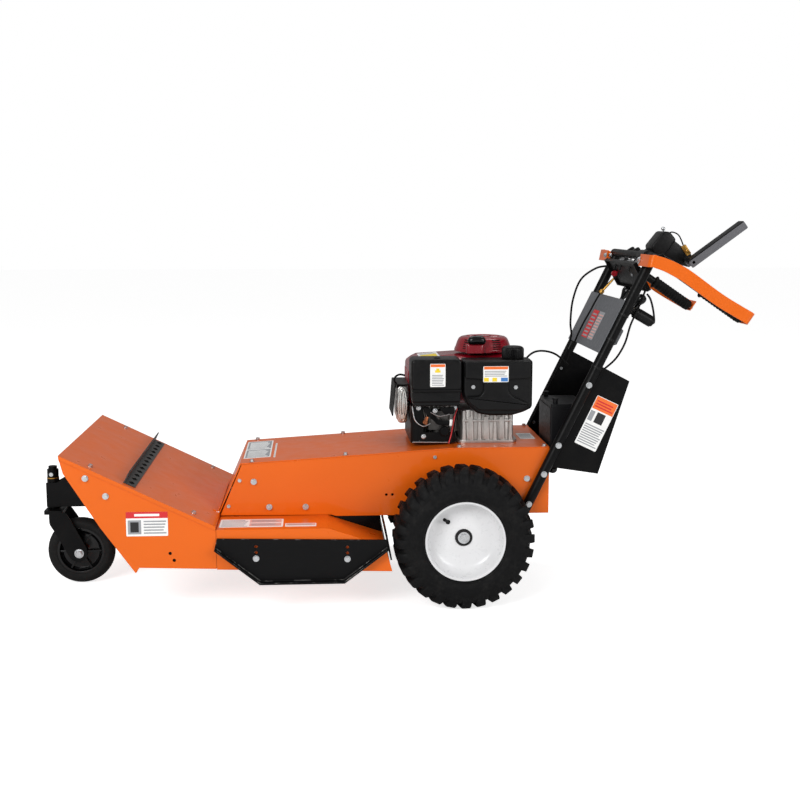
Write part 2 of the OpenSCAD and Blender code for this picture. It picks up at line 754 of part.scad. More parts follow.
// Flat strip outside each grip, bent in at both ends
module hand_guard() {
  strip = [[724, 1008], [776, 999], [848, 972], [1032, 839], [1012, 811], [827, 944], [764, 966],
    [718, 974]];
  sheet_xz(strip, -guard_y - 4, 4);
  sheet_xz([[724, 1008], [730, 1007], [724, 972.5], [718, 974]], -guard_y - 3, 116);
  difference() {
    sheet_xz([[1032, 839], [1029, 841.2], [1009, 813.2], [1012, 811]], -guard_y - 3, 78);
    on_bar() translate([bar_len, 0, 0]) rotate([0, 90, 0]) cylinder(h = 60, r = 4);
  }
}

module hand_guards() {
  color(ORANGE) both() hand_guard();
}

// ---- Battery tray ----

module battery_tray() {
  side = [[477, 380], [477, 442], [600, 690], [706, 634], [618, 358]];
  inner = frame_half - 3;
  color(BLACK) difference() {
    union() {
      both() sheet_xz(side, -frame_half, 3);
      sheet_xz([[618, 358], [706, 634], [703, 635], [615.4, 359.4]], -inner - 1, 2 * inner + 2);
      block([480, -inner - 1, 384], [624, inner + 1, 387]);
    }
    for (s = [TUBE_BOLT_S[2], TUBE_BOLT_S[3]]) both() cross_bar(on_tube(s), -210, -190, 5);
  }
}

module battery() {
  color(GREY) {
    soft_block(482, -150, 592, 44, 387.2, 548, 6);
    soft_block(484, -148, 590, 42, 548, 560, 6);
  }
  color(ZINC) for (y = [-130, 24]) {
    translate([500, y, 560]) cylinder(h = 12, r = 7);
    translate([500, y, 572]) cylinder(h = 4, r = 9, $fn = 6);
  }
}

// ---- Controls ----

// Sheet in front of the tubes with two ears that carry the levers' shaft
module control_cover() {
  a = on_tube(510, -tube_d / 2 - 3.2);
  b = on_tube(680, -tube_d / 2 - 3.2);
  c = on_tube(680, -tube_d / 2 - 0.2);
  d = on_tube(510, -tube_d / 2 - 0.2);
  ear = [on_tube(520, -16), on_tube(620, -16), on_tube(600, 30), on_tube(555, 30)];
  color(GREY) {
    sheet_xz([a, b, c, d], -218, 436);
    both() sheet_xz(ear, -184, 4);
    cross_bar(lever_shaft, -182, 182, 6);
  }
}

// Places children on the dash: z is its outward normal, x runs down its face
module on_dash() {
  translate([745, 0, 938]) rotate([0, 61, 0]) children();
}

module dash_panel() {
  color(BLACK) on_dash() difference() {
    union() {
      difference() {
        translate([-50, -188, -12]) cube([92, 376, 12]);
        translate([-47, -185, -13]) cube([86, 370, 10]);
      }
      translate([-4, 62, 0]) cylinder(h = 12, r = 22);
      translate([-4, -60, 0]) cylinder(h = 8, r = 15);
    }
    translate([-4, -60, -20]) cylinder(h = 40, r = 6 + fit);
    translate([-4, 130, -20]) cube([44, 9, 60], center = true);
  }
}

module throttle_lever() {
  color(RED) on_dash() translate([-4, 130, -14]) {
    rotate([90, 0, 0]) cylinder(h = 7, r = 9, center = true);
    translate([-3, -3, 0]) cube([6, 6, 52]);
    translate([-9, -5, 50]) cube([18, 10, 16]);
  }
}

module ignition_key() {
  color(ZINC) on_dash() translate([-4, -60, 0]) {
    translate([0, 0, -6]) cylinder(h = 16, r = 6);
    translate([-2, -11, 10]) cube([4, 22, 20]);
  }
}

// A lever on the shaft behind the cover, with a ball knob
module knob_lever(y, knob) {
  hub = [lever_shaft[0], y, lever_shaft[1]];
  top = [knob[0], y, knob[1]];
  difference() {
    union() {
      cross_bar(lever_shaft, y - 9, y + 9, 12);
      bar(hub + 9 * unit(top - hub), top, 5);
    }
    cross_bar(lever_shaft, y - 20, y + 20, 6 + fit);
  }
  translate(top) sphere(r = 15);
}

module blade_lever() { color(BLACK) knob_lever(0, [740, 886]); }
module brake_lever() { color(BLACK) knob_lever(-120, [754, 869]); }

// Channel that the palm presses down onto the grip
module presence_paddle() {
  tip = [1007, 1090];
  tilt = atan2(tip[1] - paddle_pivot[1], tip[0] - paddle_pivot[0]);
  long = norm(tip - paddle_pivot);
  color(BLACK) {
    translate([paddle_pivot[0], -bar_y, paddle_pivot[1]]) rotate([0, -tilt, 0]) difference() {
      translate([-12, -22, -12]) cube([long + 14, 44, 24]);
      translate([-13, -19, -13]) cube([long + 12, 38, 22]);
    }
    cross_bar(paddle_pivot, -bar_y - 22, -150, 5);
  }
}

module control_housing() {
  side = soft([[744, 1036], [776, 1074], [794, 1073], [884, 1002], [874, 964], [800, 1004]], 7, 3);
  color(BLACK) difference() {
    union() {
      sheet_xz(side, -190, 78);
      sheet_xz([[742, 1006], [748, 1034], [790, 1014], [768, 1000]], -186, 70);
      cross_bar(bar_front, -190, -112, 18);
    }
    cross_bar(bar_front, -192, -110, bar_d / 2 + fit);
    cross_bar(paddle_pivot, -192, -148, 5 + fit);
    block([808, -160, 1008], [836, -140, 1090]);
    cross_bar([822, 1036], -170, -130, 4);
  }
}

module speed_lever() {
  color(GREY) {
    cross_bar([822, 1036], -169, -131, 4 - fit);
    cross_bar([822, 1036], -156, -144, 10);
    bar([822, -150, 1036], [806, -150, 1078], 3);
    translate([806, -150, 1078]) sphere(r = 6);
  }
}

module bypass_rod() {
  color(BLACK) {
    bar([420, -60, 347], [506, -60, 347], 5);
    translate([509, -60, 347]) sphere(r = 14);
  }
}

module vapour_canister() {
  a = [722, -168, 836];
  b = [774, -168, 806];
  color(BLACK) {
    bar(a, b, 17);
    bar(a - 6 * unit(b - a), a, 12);
    bar(b, b + 5 * unit(b - a), 13);
  }
}

// ---- Cables: one swept tube through hand-placed points ----

CABLES = [
  // throttle cable: out of the dash, in a loop on the right and down to the engine
  [3.2, [[712, 150, 958], [676, 154, 950], [630, 156, 915], [606, 158, 850], [600, 160, 780],
    [604, 164, 735], [590, 168, 690]]],
  // engine harness: from the fan cover over to the battery
  [3.2, [[428, 60, 640], [440, 64, 670], [466, 70, 692], [500, 76, 696], [540, 80, 684],
    [580, 84, 650]]],
  // drive cable: down in front of the cover
  [2.8, [[716, 40, 930], [690, 44, 905], [664, 48, 870], [640, 60, 820], [616, 80, 765], [594, 100, 700],
    [580, 110, 650]]],
  // cable clipped behind the left tube
  [3, [[748, -192, 902], [728, -194, 850], [706, -194, 800], [690, -194, 745], [664, -193, 700],
    [630, -188, 668]]],
];

// A smooth curve through the points, with a few rings between each pair
function spline(p, n) = [
  for (i = [0 : len(p) - 2])
    let (a = p[max(i - 1, 0)], b = p[i], c = p[i + 1], d = p[min(i + 2, len(p) - 1)])
      for (k = [0 : (i == len(p) - 2 ? n : n - 1)]) let (t = k / n)
        0.5 * ((2 * b) + (c - a) * t + (2 * a - 5 * b + 4 * c - d) * t * t
          + (3 * b - a - 3 * c + d) * t * t * t)];

module swept(r, points) {
  path = spline(points, 3);
  n = len(path);
  sides = 8;
  ring = [for (i = [0 : n - 1])
    let (t = unit(path[min(i + 1, n - 1)] - path[max(i - 1, 0)]),
         u = unit(cross(t, [0, 1, 0.01])), v = cross(t, u))
      for (k = [0 : sides - 1]) path[i] + r * (cos(k * 45) * u + sin(k * 45) * v)];
  walls = [for (i = [0 : n - 2], k = [0 : sides - 1])
    let (m = (k + 1) % sides) each [
      [i * sides + k, (i + 1) * sides + m, (i + 1) * sides + k],
      [i * sides + k, i * sides + m, (i + 1) * sides + m]]];
  polyhedron(ring, concat([[for (k = [0 : sides - 1]) sides - 1 - k]], walls,
    [[for (k = [0 : sides - 1]) (n - 1) * sides + k]]));
}

module control_cables() {
  color(RUBBER) for (c = CABLES) swept(c[0], c[1]);
}

// ---- Fasteners ----

module zinc_bolts() {
  color(ZINC) {
    side_bolts(FRAME_BOLTS, frame_half, 8);
    side_bolts(HOOD_BOLTS, deck_half, 14);
    side_bolts(SKID_BOLTS, deck_half + 6, 14);
    for (s = TUBE_BOLT_S) both() translate([on_tube(s)[0], -frame_half - tube_d, on_tube(s)[1]])
      rotate([90, 0, 0]) bolt(5, tube_d + 8);
    for (b = COVER_BOLTS) both() translate([b[0], -b[1], cover_z(b[0]) + 1]) bolt(4, 14);
    for (b = PLATE_BOLTS) both() translate([b[0], -b[1], frame_top + 3]) bolt(4, 14);
    for (b = HOOD_TOP_BOLTS) both() translate([b[0], -b[1], hood_z(b[0]) + 0.2])
      rotate([0, hood_angle, 0]) bolt(4, 14);
    for (a = [45 : 90 : 315]) translate([spindle_x, 0, deck_top + 9]) rotate(a) translate([72, 0, 0])
      bolt(5, 18);
    for (b = TANK_BOLTS) translate([b[0], -164, b[1]]) rotate([90, 0, 0]) bolt(4, 10);
    both() on_bar() translate([bar_len + 31.8, 0, 0]) rotate([0, 90, 0]) bolt(4, 31);
  }
}

// ---- The parts ----

frame_sides();
frame_crossmembers();
engine_deck_plate();
belt_cover();
mower_deck();
hood_top();
hood_sides();
grip_bar();
skid_shoes();
rear_flap();
caster_bracket();
caster_fork();
caster_tyre();
caster_hub();
lynch_pin();
engine_crankcase();
fan_cover();
recoil_housing();
recoil_grip();
fuel_tank();
fuel_cap();
air_cleaner_cover();
carburettor();
engine_shroud();
muffler();
muffler_guard();
crankshaft_pulley();
belts();
spindle_housing();
spindle_shaft();
spindle_pulley();
blade();
idler_arm();
idler_pulley();
idler_spring();
transaxle();
transaxle_pulley();
tyre_left();
tyre_right();
rim_left();
rim_right();
handle_tubes();
handlebar();
hand_grips();
hand_guards();
battery_tray();
battery();
control_cover();
dash_panel();
throttle_lever();
ignition_key();
blade_lever();
brake_lever();
presence_paddle();
control_housing();
speed_lever();
bypass_rod();
vapour_canister();
control_cables();
zinc_bolts();
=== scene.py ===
"""Brush mower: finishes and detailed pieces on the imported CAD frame.

Shapes are given in millimetres in the frame of the model (+X to the operator, +Z up, the left side,
which faces the camera, at -Y) and become metres when a piece is placed.
"""

import math

import bmesh
import bpy
from mathutils import Matrix, Vector


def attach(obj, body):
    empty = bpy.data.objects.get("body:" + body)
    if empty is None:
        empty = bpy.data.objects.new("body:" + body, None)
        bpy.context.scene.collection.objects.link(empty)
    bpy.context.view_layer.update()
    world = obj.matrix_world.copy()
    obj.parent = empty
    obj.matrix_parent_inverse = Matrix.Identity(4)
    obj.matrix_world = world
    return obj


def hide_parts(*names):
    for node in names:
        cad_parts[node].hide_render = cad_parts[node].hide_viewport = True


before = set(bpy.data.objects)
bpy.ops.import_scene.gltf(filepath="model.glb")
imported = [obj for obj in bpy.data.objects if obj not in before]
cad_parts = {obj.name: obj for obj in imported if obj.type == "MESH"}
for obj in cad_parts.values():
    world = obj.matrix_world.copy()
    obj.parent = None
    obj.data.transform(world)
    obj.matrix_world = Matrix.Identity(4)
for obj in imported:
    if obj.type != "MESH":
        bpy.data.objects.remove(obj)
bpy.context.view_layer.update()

# ---- Places shared with the CAD source ----

AXLE = Vector((205, 0, 203))
WHEEL_Y = 300
CASTER = Vector((-935, 0, 101.5))
PIVOT_X = -1014
CRANK_X = 300
HOOD_FALL = 0.486
COVER_RISE = 0.0623
TUBE_FOOT = Vector((398, 0, 255))
TUBE_LEAN = math.radians(26)
BAR_FRONT = Vector((755, 0, 998))
BAR_END = Vector((992, 0, 836))
BAR_Y = 258
DECK_HALF = 360
SIDE_INNER = 355.8  # just inside the deck's side sheets
SKID_BOLTS = ((-385, 164), (-129, 158))
DECK_TOP = 246
GRIP_BAR_X = -735
DASH = Matrix.Translation((745, 0, 938)) @ Matrix.Rotation(math.radians(61), 4, "Y")


def hood_z(x):
    """Height of the hood's top sheet."""
    return 463 - HOOD_FALL * (x + 922)


def cover_z(x):
    """Height of the belt cover."""
    return 402 + COVER_RISE * (x + 436)


def on_tube(s, off=0.0):
    """A point s along the handle tubes from their foot, off towards the rear."""
    along = Vector((math.sin(TUBE_LEAN), 0, math.cos(TUBE_LEAN)))
    across = Vector((math.cos(TUBE_LEAN), 0, -math.sin(TUBE_LEAN)))
    return TUBE_FOOT + s * along + off * across


# ---- Placing ----

FLAT = Matrix.Identity(4)  # outline in XY, depth up Z
SIDE = Matrix(((1, 0, 0, 0), (0, 0, 1, 0), (0, 1, 0, 0), (0, 0, 0, 1)))  # outline in XZ, depth along Y
FACING = Matrix(((0, 0, 1, 0), (1, 0, 0, 0), (0, 1, 0, 0), (0, 0, 0, 1)))  # outline in YZ, depth along X


def at(x, y, z):
    return Matrix.Translation((x, y, z))


def turn(degrees, axis):
    return Matrix.Rotation(math.radians(degrees), 4, axis)


def pointing(place, direction):
    """A frame at place whose z axis points along direction."""
    return Matrix.Translation(place) @ Vector(direction).to_track_quat("Z", "Y").to_matrix().to_4x4()


def outwards(x, z, y=0.0, side=-1):
    """A frame on the left side (or the right with side 1), with its z axis pointing out."""
    return at(x, y, z) @ turn(-90 * side, "X")


# ---- Outlines ----


def rect(x0, y0, x1, y1):
    return [(x0, y0), (x1, y0), (x1, y1), (x0, y1)]


def corner_curve(before, corner, after, cut, steps):
    """Points round a corner; cut is the length taken off both of its sides."""
    a, b = corner + (before - corner).normalized() * cut, corner + (after - corner).normalized() * cut
    return [(1 - t) ** 2 * a + 2 * t * (1 - t) * corner + t * t * b
        for t in [k / steps for k in range(steps + 1)]]


def soft(points, cut, steps=5):
    """The outline with its corners rounded."""
    p = [Vector(q) for q in points]
    return [tuple(q) for i, v in enumerate(p)
        for q in corner_curve(p[i - 1], v, p[(i + 1) % len(p)], cut, steps)]


def inset(outline, depth):
    """The outline moved inwards by depth."""
    n = len(outline)
    area = sum(outline[i - 1][0] * outline[i][1] - outline[i][0] * outline[i - 1][1] for i in range(n))
    sign = 1 if area > 0 else -1
    out = []
    for i in range(n):
        a, b, c = Vector(outline[i - 1]), Vector(outline[i]), Vector(outline[(i + 1) % n])
        d1, d2 = (b - a).normalized(), (c - b).normalized()
        m = Vector((-d1.y - d2.y, d1.x + d2.x))
        out.append(tuple(b + sign * depth * m / max(m.length_squared / 2, 0.2)))
    return out


def smooth_path(points, steps=6):
    """A smooth curve through given points."""
    p = [Vector(q) for q in points]
    out = []
    for i in range(len(p) - 1):
        a, b, c, d = p[max(i - 1, 0)], p[i], p[i + 1], p[min(i + 2, len(p) - 1)]
        for k in range(steps + (i == len(p) - 2)):
            t = k / steps
            out.append(
                0.5
                * (2 * b + (c - a) * t + (2 * a - 5 * b + 4 * c - d) * t * t + (3 * b - a - 3 * c + d) * t**3)
            )
    return out


def bent(points, cut, steps=8):
    """A path with straight legs and rounded corners."""
    p = [Vector(q) for q in points]
    middle = [q for three in zip(p, p[1:], p[2:]) for q in corner_curve(*three, cut, steps)]
    return [p[0]] + middle + [p[-1]]


def around(count):
    """The angles of a full circle."""
    return [2 * math.pi * k / count for k in range(count)]


TIP = 0.01  # radius of a turned profile where it ends on its axis


def solid(*profile):
    """A profile of (radius, height) pairs, joined to the axis at both of its ends."""
    return [(TIP, profile[0][1]), *profile, (TIP, profile[-1][1])]


# ---- Pieces ----


class Piece:
    """Gathers solids in millimetres, and becomes one object that rides on a body of the frame."""

    def __init__(self, name, body="chassis"):
        self.name, self.body = name, body
        self.bm = bmesh.new()
        self.materials = []
        self.index = 0

    def use(self, material):
        if material not in self.materials:
            self.materials.append(material)
        self.index = self.materials.index(material)
        return self

    def skin(self, rings, closed=False, caps=True):
        """Joins equal rings of points into a solid."""
        rows = [[self.bm.verts.new(Vector(p)) for p in ring] for ring in rings]
        n, count = len(rows[0]), len(rows)
        for i in range(count if closed else count - 1):
            a, b = rows[i], rows[(i + 1) % count]
            for k in range(n):
                m = (k + 1) % n
                self._face([a[k], a[m], b[m], b[k]])
        if caps and not closed:
            self._face(list(reversed(rows[0])))
            self._face(rows[-1])
        return self

    def _face(self, verts):
        face = self.bm.faces.new(verts)
        face.material_index = self.index
        face.smooth = True

    def prism(self, outline, low, high, place=FLAT, rounds=(0.0, 0.0), steps=4):
        """An outline from depth low to high, with its rim rounded at the low and the high end."""
        def rim(radius):
            if not radius:
                return [(0.0, 0.0)]
            angles = [math.pi / 2 * k / steps for k in range(steps + 1)]
            return [(radius * (1 - math.cos(a)), radius * (1 - math.sin(a))) for a in angles]

        levels = [(low + depth, cut) for depth, cut in rim(rounds[0])]
        levels += [(high - depth, cut) for depth, cut in reversed(rim(rounds[1]))]
        rings = []
        for depth, cut in levels:
            shape = inset(outline, cut) if cut else outline
            rings.append([place @ Vector((u, v, depth)) for u, v in shape])
        return self.skin(rings)

    def box(self, low, high, place=FLAT):
        return self.prism(rect(low[0], low[1], high[0], high[1]), low[2], high[2], place)

    def revolve(self, profile, place=FLAT, steps=48, closed=False):
        """A profile of (radius, height) pairs turned about the z axis of place."""
        rings = [[place @ Vector((r * math.cos(a), r * math.sin(a), h)) for a in around(steps)]
            for r, h in profile]
        return self.skin(rings, closed=closed)

    def sweep(self, path, radius, sides=12, closed=False):
        """A round tube along a path; radius is one number or one for each point."""
        points = [Vector(p) for p in path]
        n = len(points)
        radii = radius if isinstance(radius, (list, tuple)) else [radius] * n
        normal = None
        rings = []
        for i, p in enumerate(points):
            ahead = points[(i + 1) % n] if closed else points[min(i + 1, n - 1)]
            behind = points[i - 1] if closed else points[max(i - 1, 0)]
            t = (ahead - behind).normalized()
            if normal is None:
                normal = t.orthogonal().normalized()
            normal = (normal - t * normal.dot(t)).normalized()
            side = t.cross(normal)
            rings.append([p + radii[i] * (math.cos(a) * normal + math.sin(a) * side) for a in around(sides)])
        return self.skin(rings, closed=closed)

    def mirror(self):
        """Adds the same shape on the other side of the machine."""
        found = bmesh.ops.duplicate(self.bm,
            geom=list(self.bm.verts) + list(self.bm.edges) + list(self.bm.faces))
        verts = [g for g in found["geom"] if isinstance(g, bmesh.types.BMVert)]
        bmesh.ops.scale(self.bm, vec=(1, -1, 1), verts=verts)
        return self

    def place(self, slot, replaces=(), bevel=0.0, sharp=38):
        """Makes the object, in metres, on its body."""
        bm = self.bm
        bmesh.ops.remove_doubles(bm, verts=bm.verts, dist=0.004)
        bmesh.ops.dissolve_degenerate(bm, edges=bm.edges, dist=0.003)
        bmesh.ops.recalc_face_normals(bm, faces=bm.faces)
        bmesh.ops.scale(bm, vec=(0.001, 0.001, 0.001), verts=bm.verts)
        mesh = bpy.data.meshes.new(self.name)
        bm.to_mesh(mesh)
        bm.free()
        mesh.set_sharp_from_angle(angle=math.radians(sharp))
        for material in self.materials:
            mesh.materials.append(material)
        obj = bpy.data.objects.new(self.name, mesh)
        bpy.context.scene.collection.objects.link(obj)
        if bevel:
            mod = obj.modifiers.new("edges", "BEVEL")
            mod.width, mod.segments = bevel / 1000, 2
            mod.limit_method, mod.angle_limit = "ANGLE", math.radians(32)
            mod.harden_normals = True
        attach(obj, self.body)
        if replaces:
            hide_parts(*replaces)
        return obj


# ---- Finishes ----


class Nodes:
    """A material's node tree, with short ways to add and join nodes."""

    def __init__(self, name):
        self.material = bpy.data.materials.new(name)
        self.material.use_nodes = True
        self.tree = self.material.node_tree
        self.shader = self.tree.nodes["Principled BSDF"]
        coords = self.tree.nodes.new("ShaderNodeTexCoord")
        self.coords = coords.outputs["Object"]

    def add(self, kind, inputs=None, **settings):
        node = self.tree.nodes.new("ShaderNode" + kind)
        for key, value in settings.items():
            setattr(node, key, value)
        for key, value in (inputs or {}).items():
            self.join(value, node.inputs[key])
        return node

    def join(self, value, socket):
        if isinstance(value, bpy.types.NodeSocket):
            self.tree.links.new(value, socket)
        else:
            socket.default_value = value

    def set(self, **values):
        for key, value in values.items():
            self.join(value, self.shader.inputs[key.replace("_", " ")])

    def noise(self, scale, detail=4.0, rough=0.55, stretch=None):
        vector = self.coords
        if stretch:
            vector = self.add("Mapping", {"Vector": vector, "Scale": stretch}).outputs["Vector"]
        return self.add(
            "TexNoise", {"Vector": vector, "Scale": scale, "Detail": detail, "Roughness": rough}
        ).outputs["Fac"]

    def spread(self, value, low, high, from_low=0.3, from_high=0.7):
        return self.add("MapRange", {"Value": value, "From Min": from_low, "From Max": from_high,
            "To Min": low, "To Max": high}).outputs["Result"]

    def blend(self, factor, first, second):
        mix = self.add("Mix", data_type="RGBA")
        self.join(factor, mix.inputs["Factor"])
        self.join(first, mix.inputs["A"])
        self.join(second, mix.inputs["B"])
        return mix.outputs["Result"]

    def bump(self, height, strength, distance=0.001, normal=None):
        node = self.add("Bump", {"Strength": strength, "Distance": distance, "Height": height})
        if normal is not None:
            self.join(normal, node.inputs["Normal"])
        return node.outputs["Normal"]


def rgb(r, g, b):
    """A colour from 0-255 screen values, with the alpha that the shader's sockets take."""
    def linear(c):
        c /= 255
        return c / 12.92 if c <= 0.04045 else ((c + 0.055) / 1.055) ** 2.4

    return (linear(r), linear(g), linear(b), 1.0)


def shade(colour, k):
    return (colour[0] * k, colour[1] * k, colour[2] * k, 1.0)


def finish(name, colour, rough, metal=0.0, coat=0.0, cloud=(9.0, 0.06), grain=(900.0, 0.05), rounded=0.0,
           dust=0.0, specular=0.5, tint=(1.0, 1.0, 1.0, 1.0)):
    """A painted, moulded or plated finish.

    cloud is the scale and depth of slow changes in colour and gloss, grain the scale and height of the
    surface's fine texture, rounded the radius in metres of softened edges, dust the share of pale film.
    """
    n = Nodes(name)
    slow = n.noise(cloud[0])
    tone = n.blend(n.spread(slow, 0.0, 1.0), shade(colour, 1 - cloud[1]), shade(colour, 1 + cloud[1]))
    if dust:
        film = n.spread(n.noise(26.0, 6.0), 0.0, dust, 0.42, 0.75)
        tone = n.blend(film, tone, rgb(150, 140, 126))
    spots = n.noise(cloud[0] * 7, 6.0)
    gloss = n.spread(spots, max(rough - 0.07, 0.03), rough + 0.09)
    normal = None
    if rounded:
        normal = n.add("Bevel", {"Radius": rounded}, samples=4).outputs["Normal"]
    normal = n.bump(n.noise(grain[0], 2.0), grain[1], 0.0006, normal)
    n.set(Base_Color=tone, Roughness=gloss, Metallic=metal, Normal=normal, Coat_Weight=coat,
        Coat_Roughness=0.08, Specular_IOR_Level=specular, Specular_Tint=tint)
    return n.material


def worn_black(name):
    """Black paint rubbed down to the steel along its edges."""
    n = Nodes(name)
    soft_normal = n.add("Bevel", {"Radius": 0.004}, samples=6).outputs["Normal"]
    flat = n.add("NewGeometry").outputs["Normal"]
    same = n.add("VectorMath", {0: soft_normal, 1: flat}, operation="DOT_PRODUCT").outputs["Value"]
    edge = n.spread(same, 1.0, 0.0, 0.8, 0.985)
    patches = n.spread(n.noise(34.0, 5.0, 0.65), 0.0, 1.0, 0.52, 0.6)
    rub = n.add("Math", {0: edge, 1: patches}, operation="MULTIPLY", use_clamp=True).outputs["Value"]
    streaks = n.spread(n.noise(60.0, 6.0, 0.7, (0.3, 1.0, 2.5)), 0.0, 0.1, 0.55, 0.75)
    paint = n.blend(streaks, rgb(9, 9, 10), rgb(52, 52, 54))
    n.set(
        Base_Color=n.blend(rub, paint, rgb(150, 148, 144)),
        Metallic=n.spread(rub, 0.0, 0.85, 0.0, 1.0),
        Roughness=n.spread(n.noise(40.0, 5.0), 0.34, 0.5),
        Normal=n.bump(n.noise(300.0, 3.0), 0.12, 0.0006, soft_normal), Specular_IOR_Level=0.14)
    return n.material


def tinted_steel(name):
    """Muffler steel, bright at the top and browned by heat towards the bottom."""
    n = Nodes(name)
    height = n.add("SeparateXYZ", {0: n.coords}).outputs["Z"]
    wander = n.spread(n.noise(30.0, 4.0), -0.02, 0.02)
    level = n.add("Math", {0: height, 1: wander}, operation="ADD").outputs["Value"]
    heat = n.spread(level, 1.0, 0.0, 0.49, 0.56)
    tone = n.blend(heat, rgb(222, 221, 218), rgb(176, 112, 72))
    n.set(
        Base_Color=tone, Metallic=0.9, Roughness=n.spread(n.noise(120.0, 5.0), 0.2, 0.38),
        Normal=n.bump(n.noise(90.0, 3.0), 0.03, 0.0006),
    )
    return n.material


def cast_metal(name, colour, rough=0.38):
    """Sand-cast or die-cast alloy: a coarse skin with darker hollows."""
    n = Nodes(name)
    pits = n.noise(220.0, 6.0, 0.7)
    tone = n.blend(n.spread(n.noise(24.0, 5.0), 0.0, 1.0), shade(colour, 0.72), shade(colour, 1.08))
    tone = n.blend(n.spread(pits, 0.35, 0.0, 0.3, 0.5), tone, shade(colour, 0.45))
    n.set(
        Base_Color=tone, Metallic=0.85, Roughness=n.spread(pits, rough - 0.08, rough + 0.16),
        Normal=n.bump(pits, 0.35, 0.0008),
    )
    return n.material


def tyre_finish(name, colour, scale=1.0):
    """Moulded rubber: matt, a little dusty in the low places."""
    n = Nodes(name)
    dust = n.spread(n.noise(38.0 * scale, 7.0, 0.65), 0.0, 0.22, 0.5, 0.8)
    tone = n.blend(dust, colour, rgb(58, 56, 53))
    n.set(
        Base_Color=tone, Roughness=n.spread(n.noise(80.0, 5.0), 0.55, 0.78),
        Normal=n.bump(n.noise(420.0 * scale, 5.0, 0.6), 0.25, 0.0008), Specular_IOR_Level=0.16)
    return n.material


ORANGE_PAINT = finish("orange_paint", rgb(224, 97, 14), 0.34, coat=0.28, cloud=(3.0, 0.03),
    grain=(260.0, 0.03), rounded=0.0016, specular=0.45, tint=(1.0, 0.7, 0.35, 1.0))
BLACK_PAINT = finish("black_paint", rgb(8, 8, 9), 0.38, cloud=(14.0, 0.2), grain=(500.0, 0.08),
    rounded=0.0012, dust=0.008, specular=0.12)
WORN_BLACK = worn_black("worn_black_paint")
GREY_PAINT = finish("grey_paint", rgb(90, 92, 96), 0.45, cloud=(12.0, 0.08), grain=(600.0, 0.1),
    rounded=0.001)
WHITE_PAINT = finish("white_paint", rgb(222, 222, 223), 0.3, coat=0.2, cloud=(12.0, 0.03),
    grain=(500.0, 0.04))
RED_PAINT = finish("red_paint", rgb(158, 22, 34), 0.28, coat=0.5, cloud=(10.0, 0.06), grain=(500.0, 0.04))
RED_PLASTIC = finish("red_plastic", rgb(132, 6, 26), 0.24, coat=0.4, cloud=(14.0, 0.06), grain=(600.0, 0.05))
BLACK_PLASTIC = finish("black_plastic", rgb(12, 12, 13), 0.36, cloud=(16.0, 0.15), grain=(1100.0, 0.14),
    dust=0.006, specular=0.2)
GLOSS_BLACK = finish("gloss_black_plastic", rgb(8, 8, 9), 0.2, coat=0.1, cloud=(16.0, 0.12),
    grain=(700.0, 0.05), specular=0.3)
GREY_PLASTIC = finish("grey_plastic", rgb(19, 19, 21), 0.42, cloud=(14.0, 0.08), grain=(900.0, 0.14),
    specular=0.2)
RUBBER = tyre_finish("rubber", rgb(9, 9, 9), 1.6)
CASTER_RUBBER = tyre_finish("caster_rubber", rgb(22, 22, 22), 1.6)
TYRE = tyre_finish("tyre_rubber", rgb(9, 9, 10))
ZINC = finish("zinc", rgb(206, 208, 210), 0.28, metal=0.9, cloud=(60.0, 0.12), grain=(700.0, 0.1))
DARK_ZINC = finish("dark_zinc", rgb(84, 83, 82), 0.42, metal=0.85, cloud=(50.0, 0.3), grain=(400.0, 0.25),
                   rounded=0.0008)
BRASS = finish("brass", rgb(186, 140, 66), 0.32, metal=0.9, cloud=(50.0, 0.12), grain=(600.0, 0.1))
COPPER = finish("copper", rgb(178, 108, 72), 0.35, metal=0.85, cloud=(50.0, 0.15), grain=(600.0, 0.1))
PADDLE_GREY = finish("paddle_grey", rgb(84, 84, 88), 0.45, cloud=(12.0, 0.04), grain=(300.0, 0.03),
    rounded=0.001)
ALLOY = cast_metal("cast_alloy", rgb(196, 192, 188))
DARK_ALLOY = cast_metal("dark_alloy", rgb(88, 86, 84))
BLADE_STEEL = finish("blade_steel", rgb(96, 96, 98), 0.4, metal=0.8, cloud=(30.0, 0.2), grain=(300.0, 0.2))
HOT_STEEL = tinted_steel("hot_steel")
RED_WIRE = finish("red_wire", rgb(190, 24, 30), 0.4, cloud=(40.0, 0.05), grain=(900.0, 0.05))
INK = {  # printed colours of the labels
    ink: finish("label_" + ink, rgb(*tone), 0.4, cloud=(30.0, depth), grain=(900.0, 0.02))
    for ink, depth, tone in (
        ("white", 0.02, (238, 238, 236)), ("red", 0.03, (206, 34, 40)), ("rose", 0.03, (220, 168, 160)),
        ("orange", 0.03, (236, 110, 40)), ("yellow", 0.03, (236, 206, 44)), ("blue", 0.03, (58, 120, 190)),
        ("grey", 0.03, (150, 152, 156)), ("black", 0.03, (26, 26, 28)),
    )
}

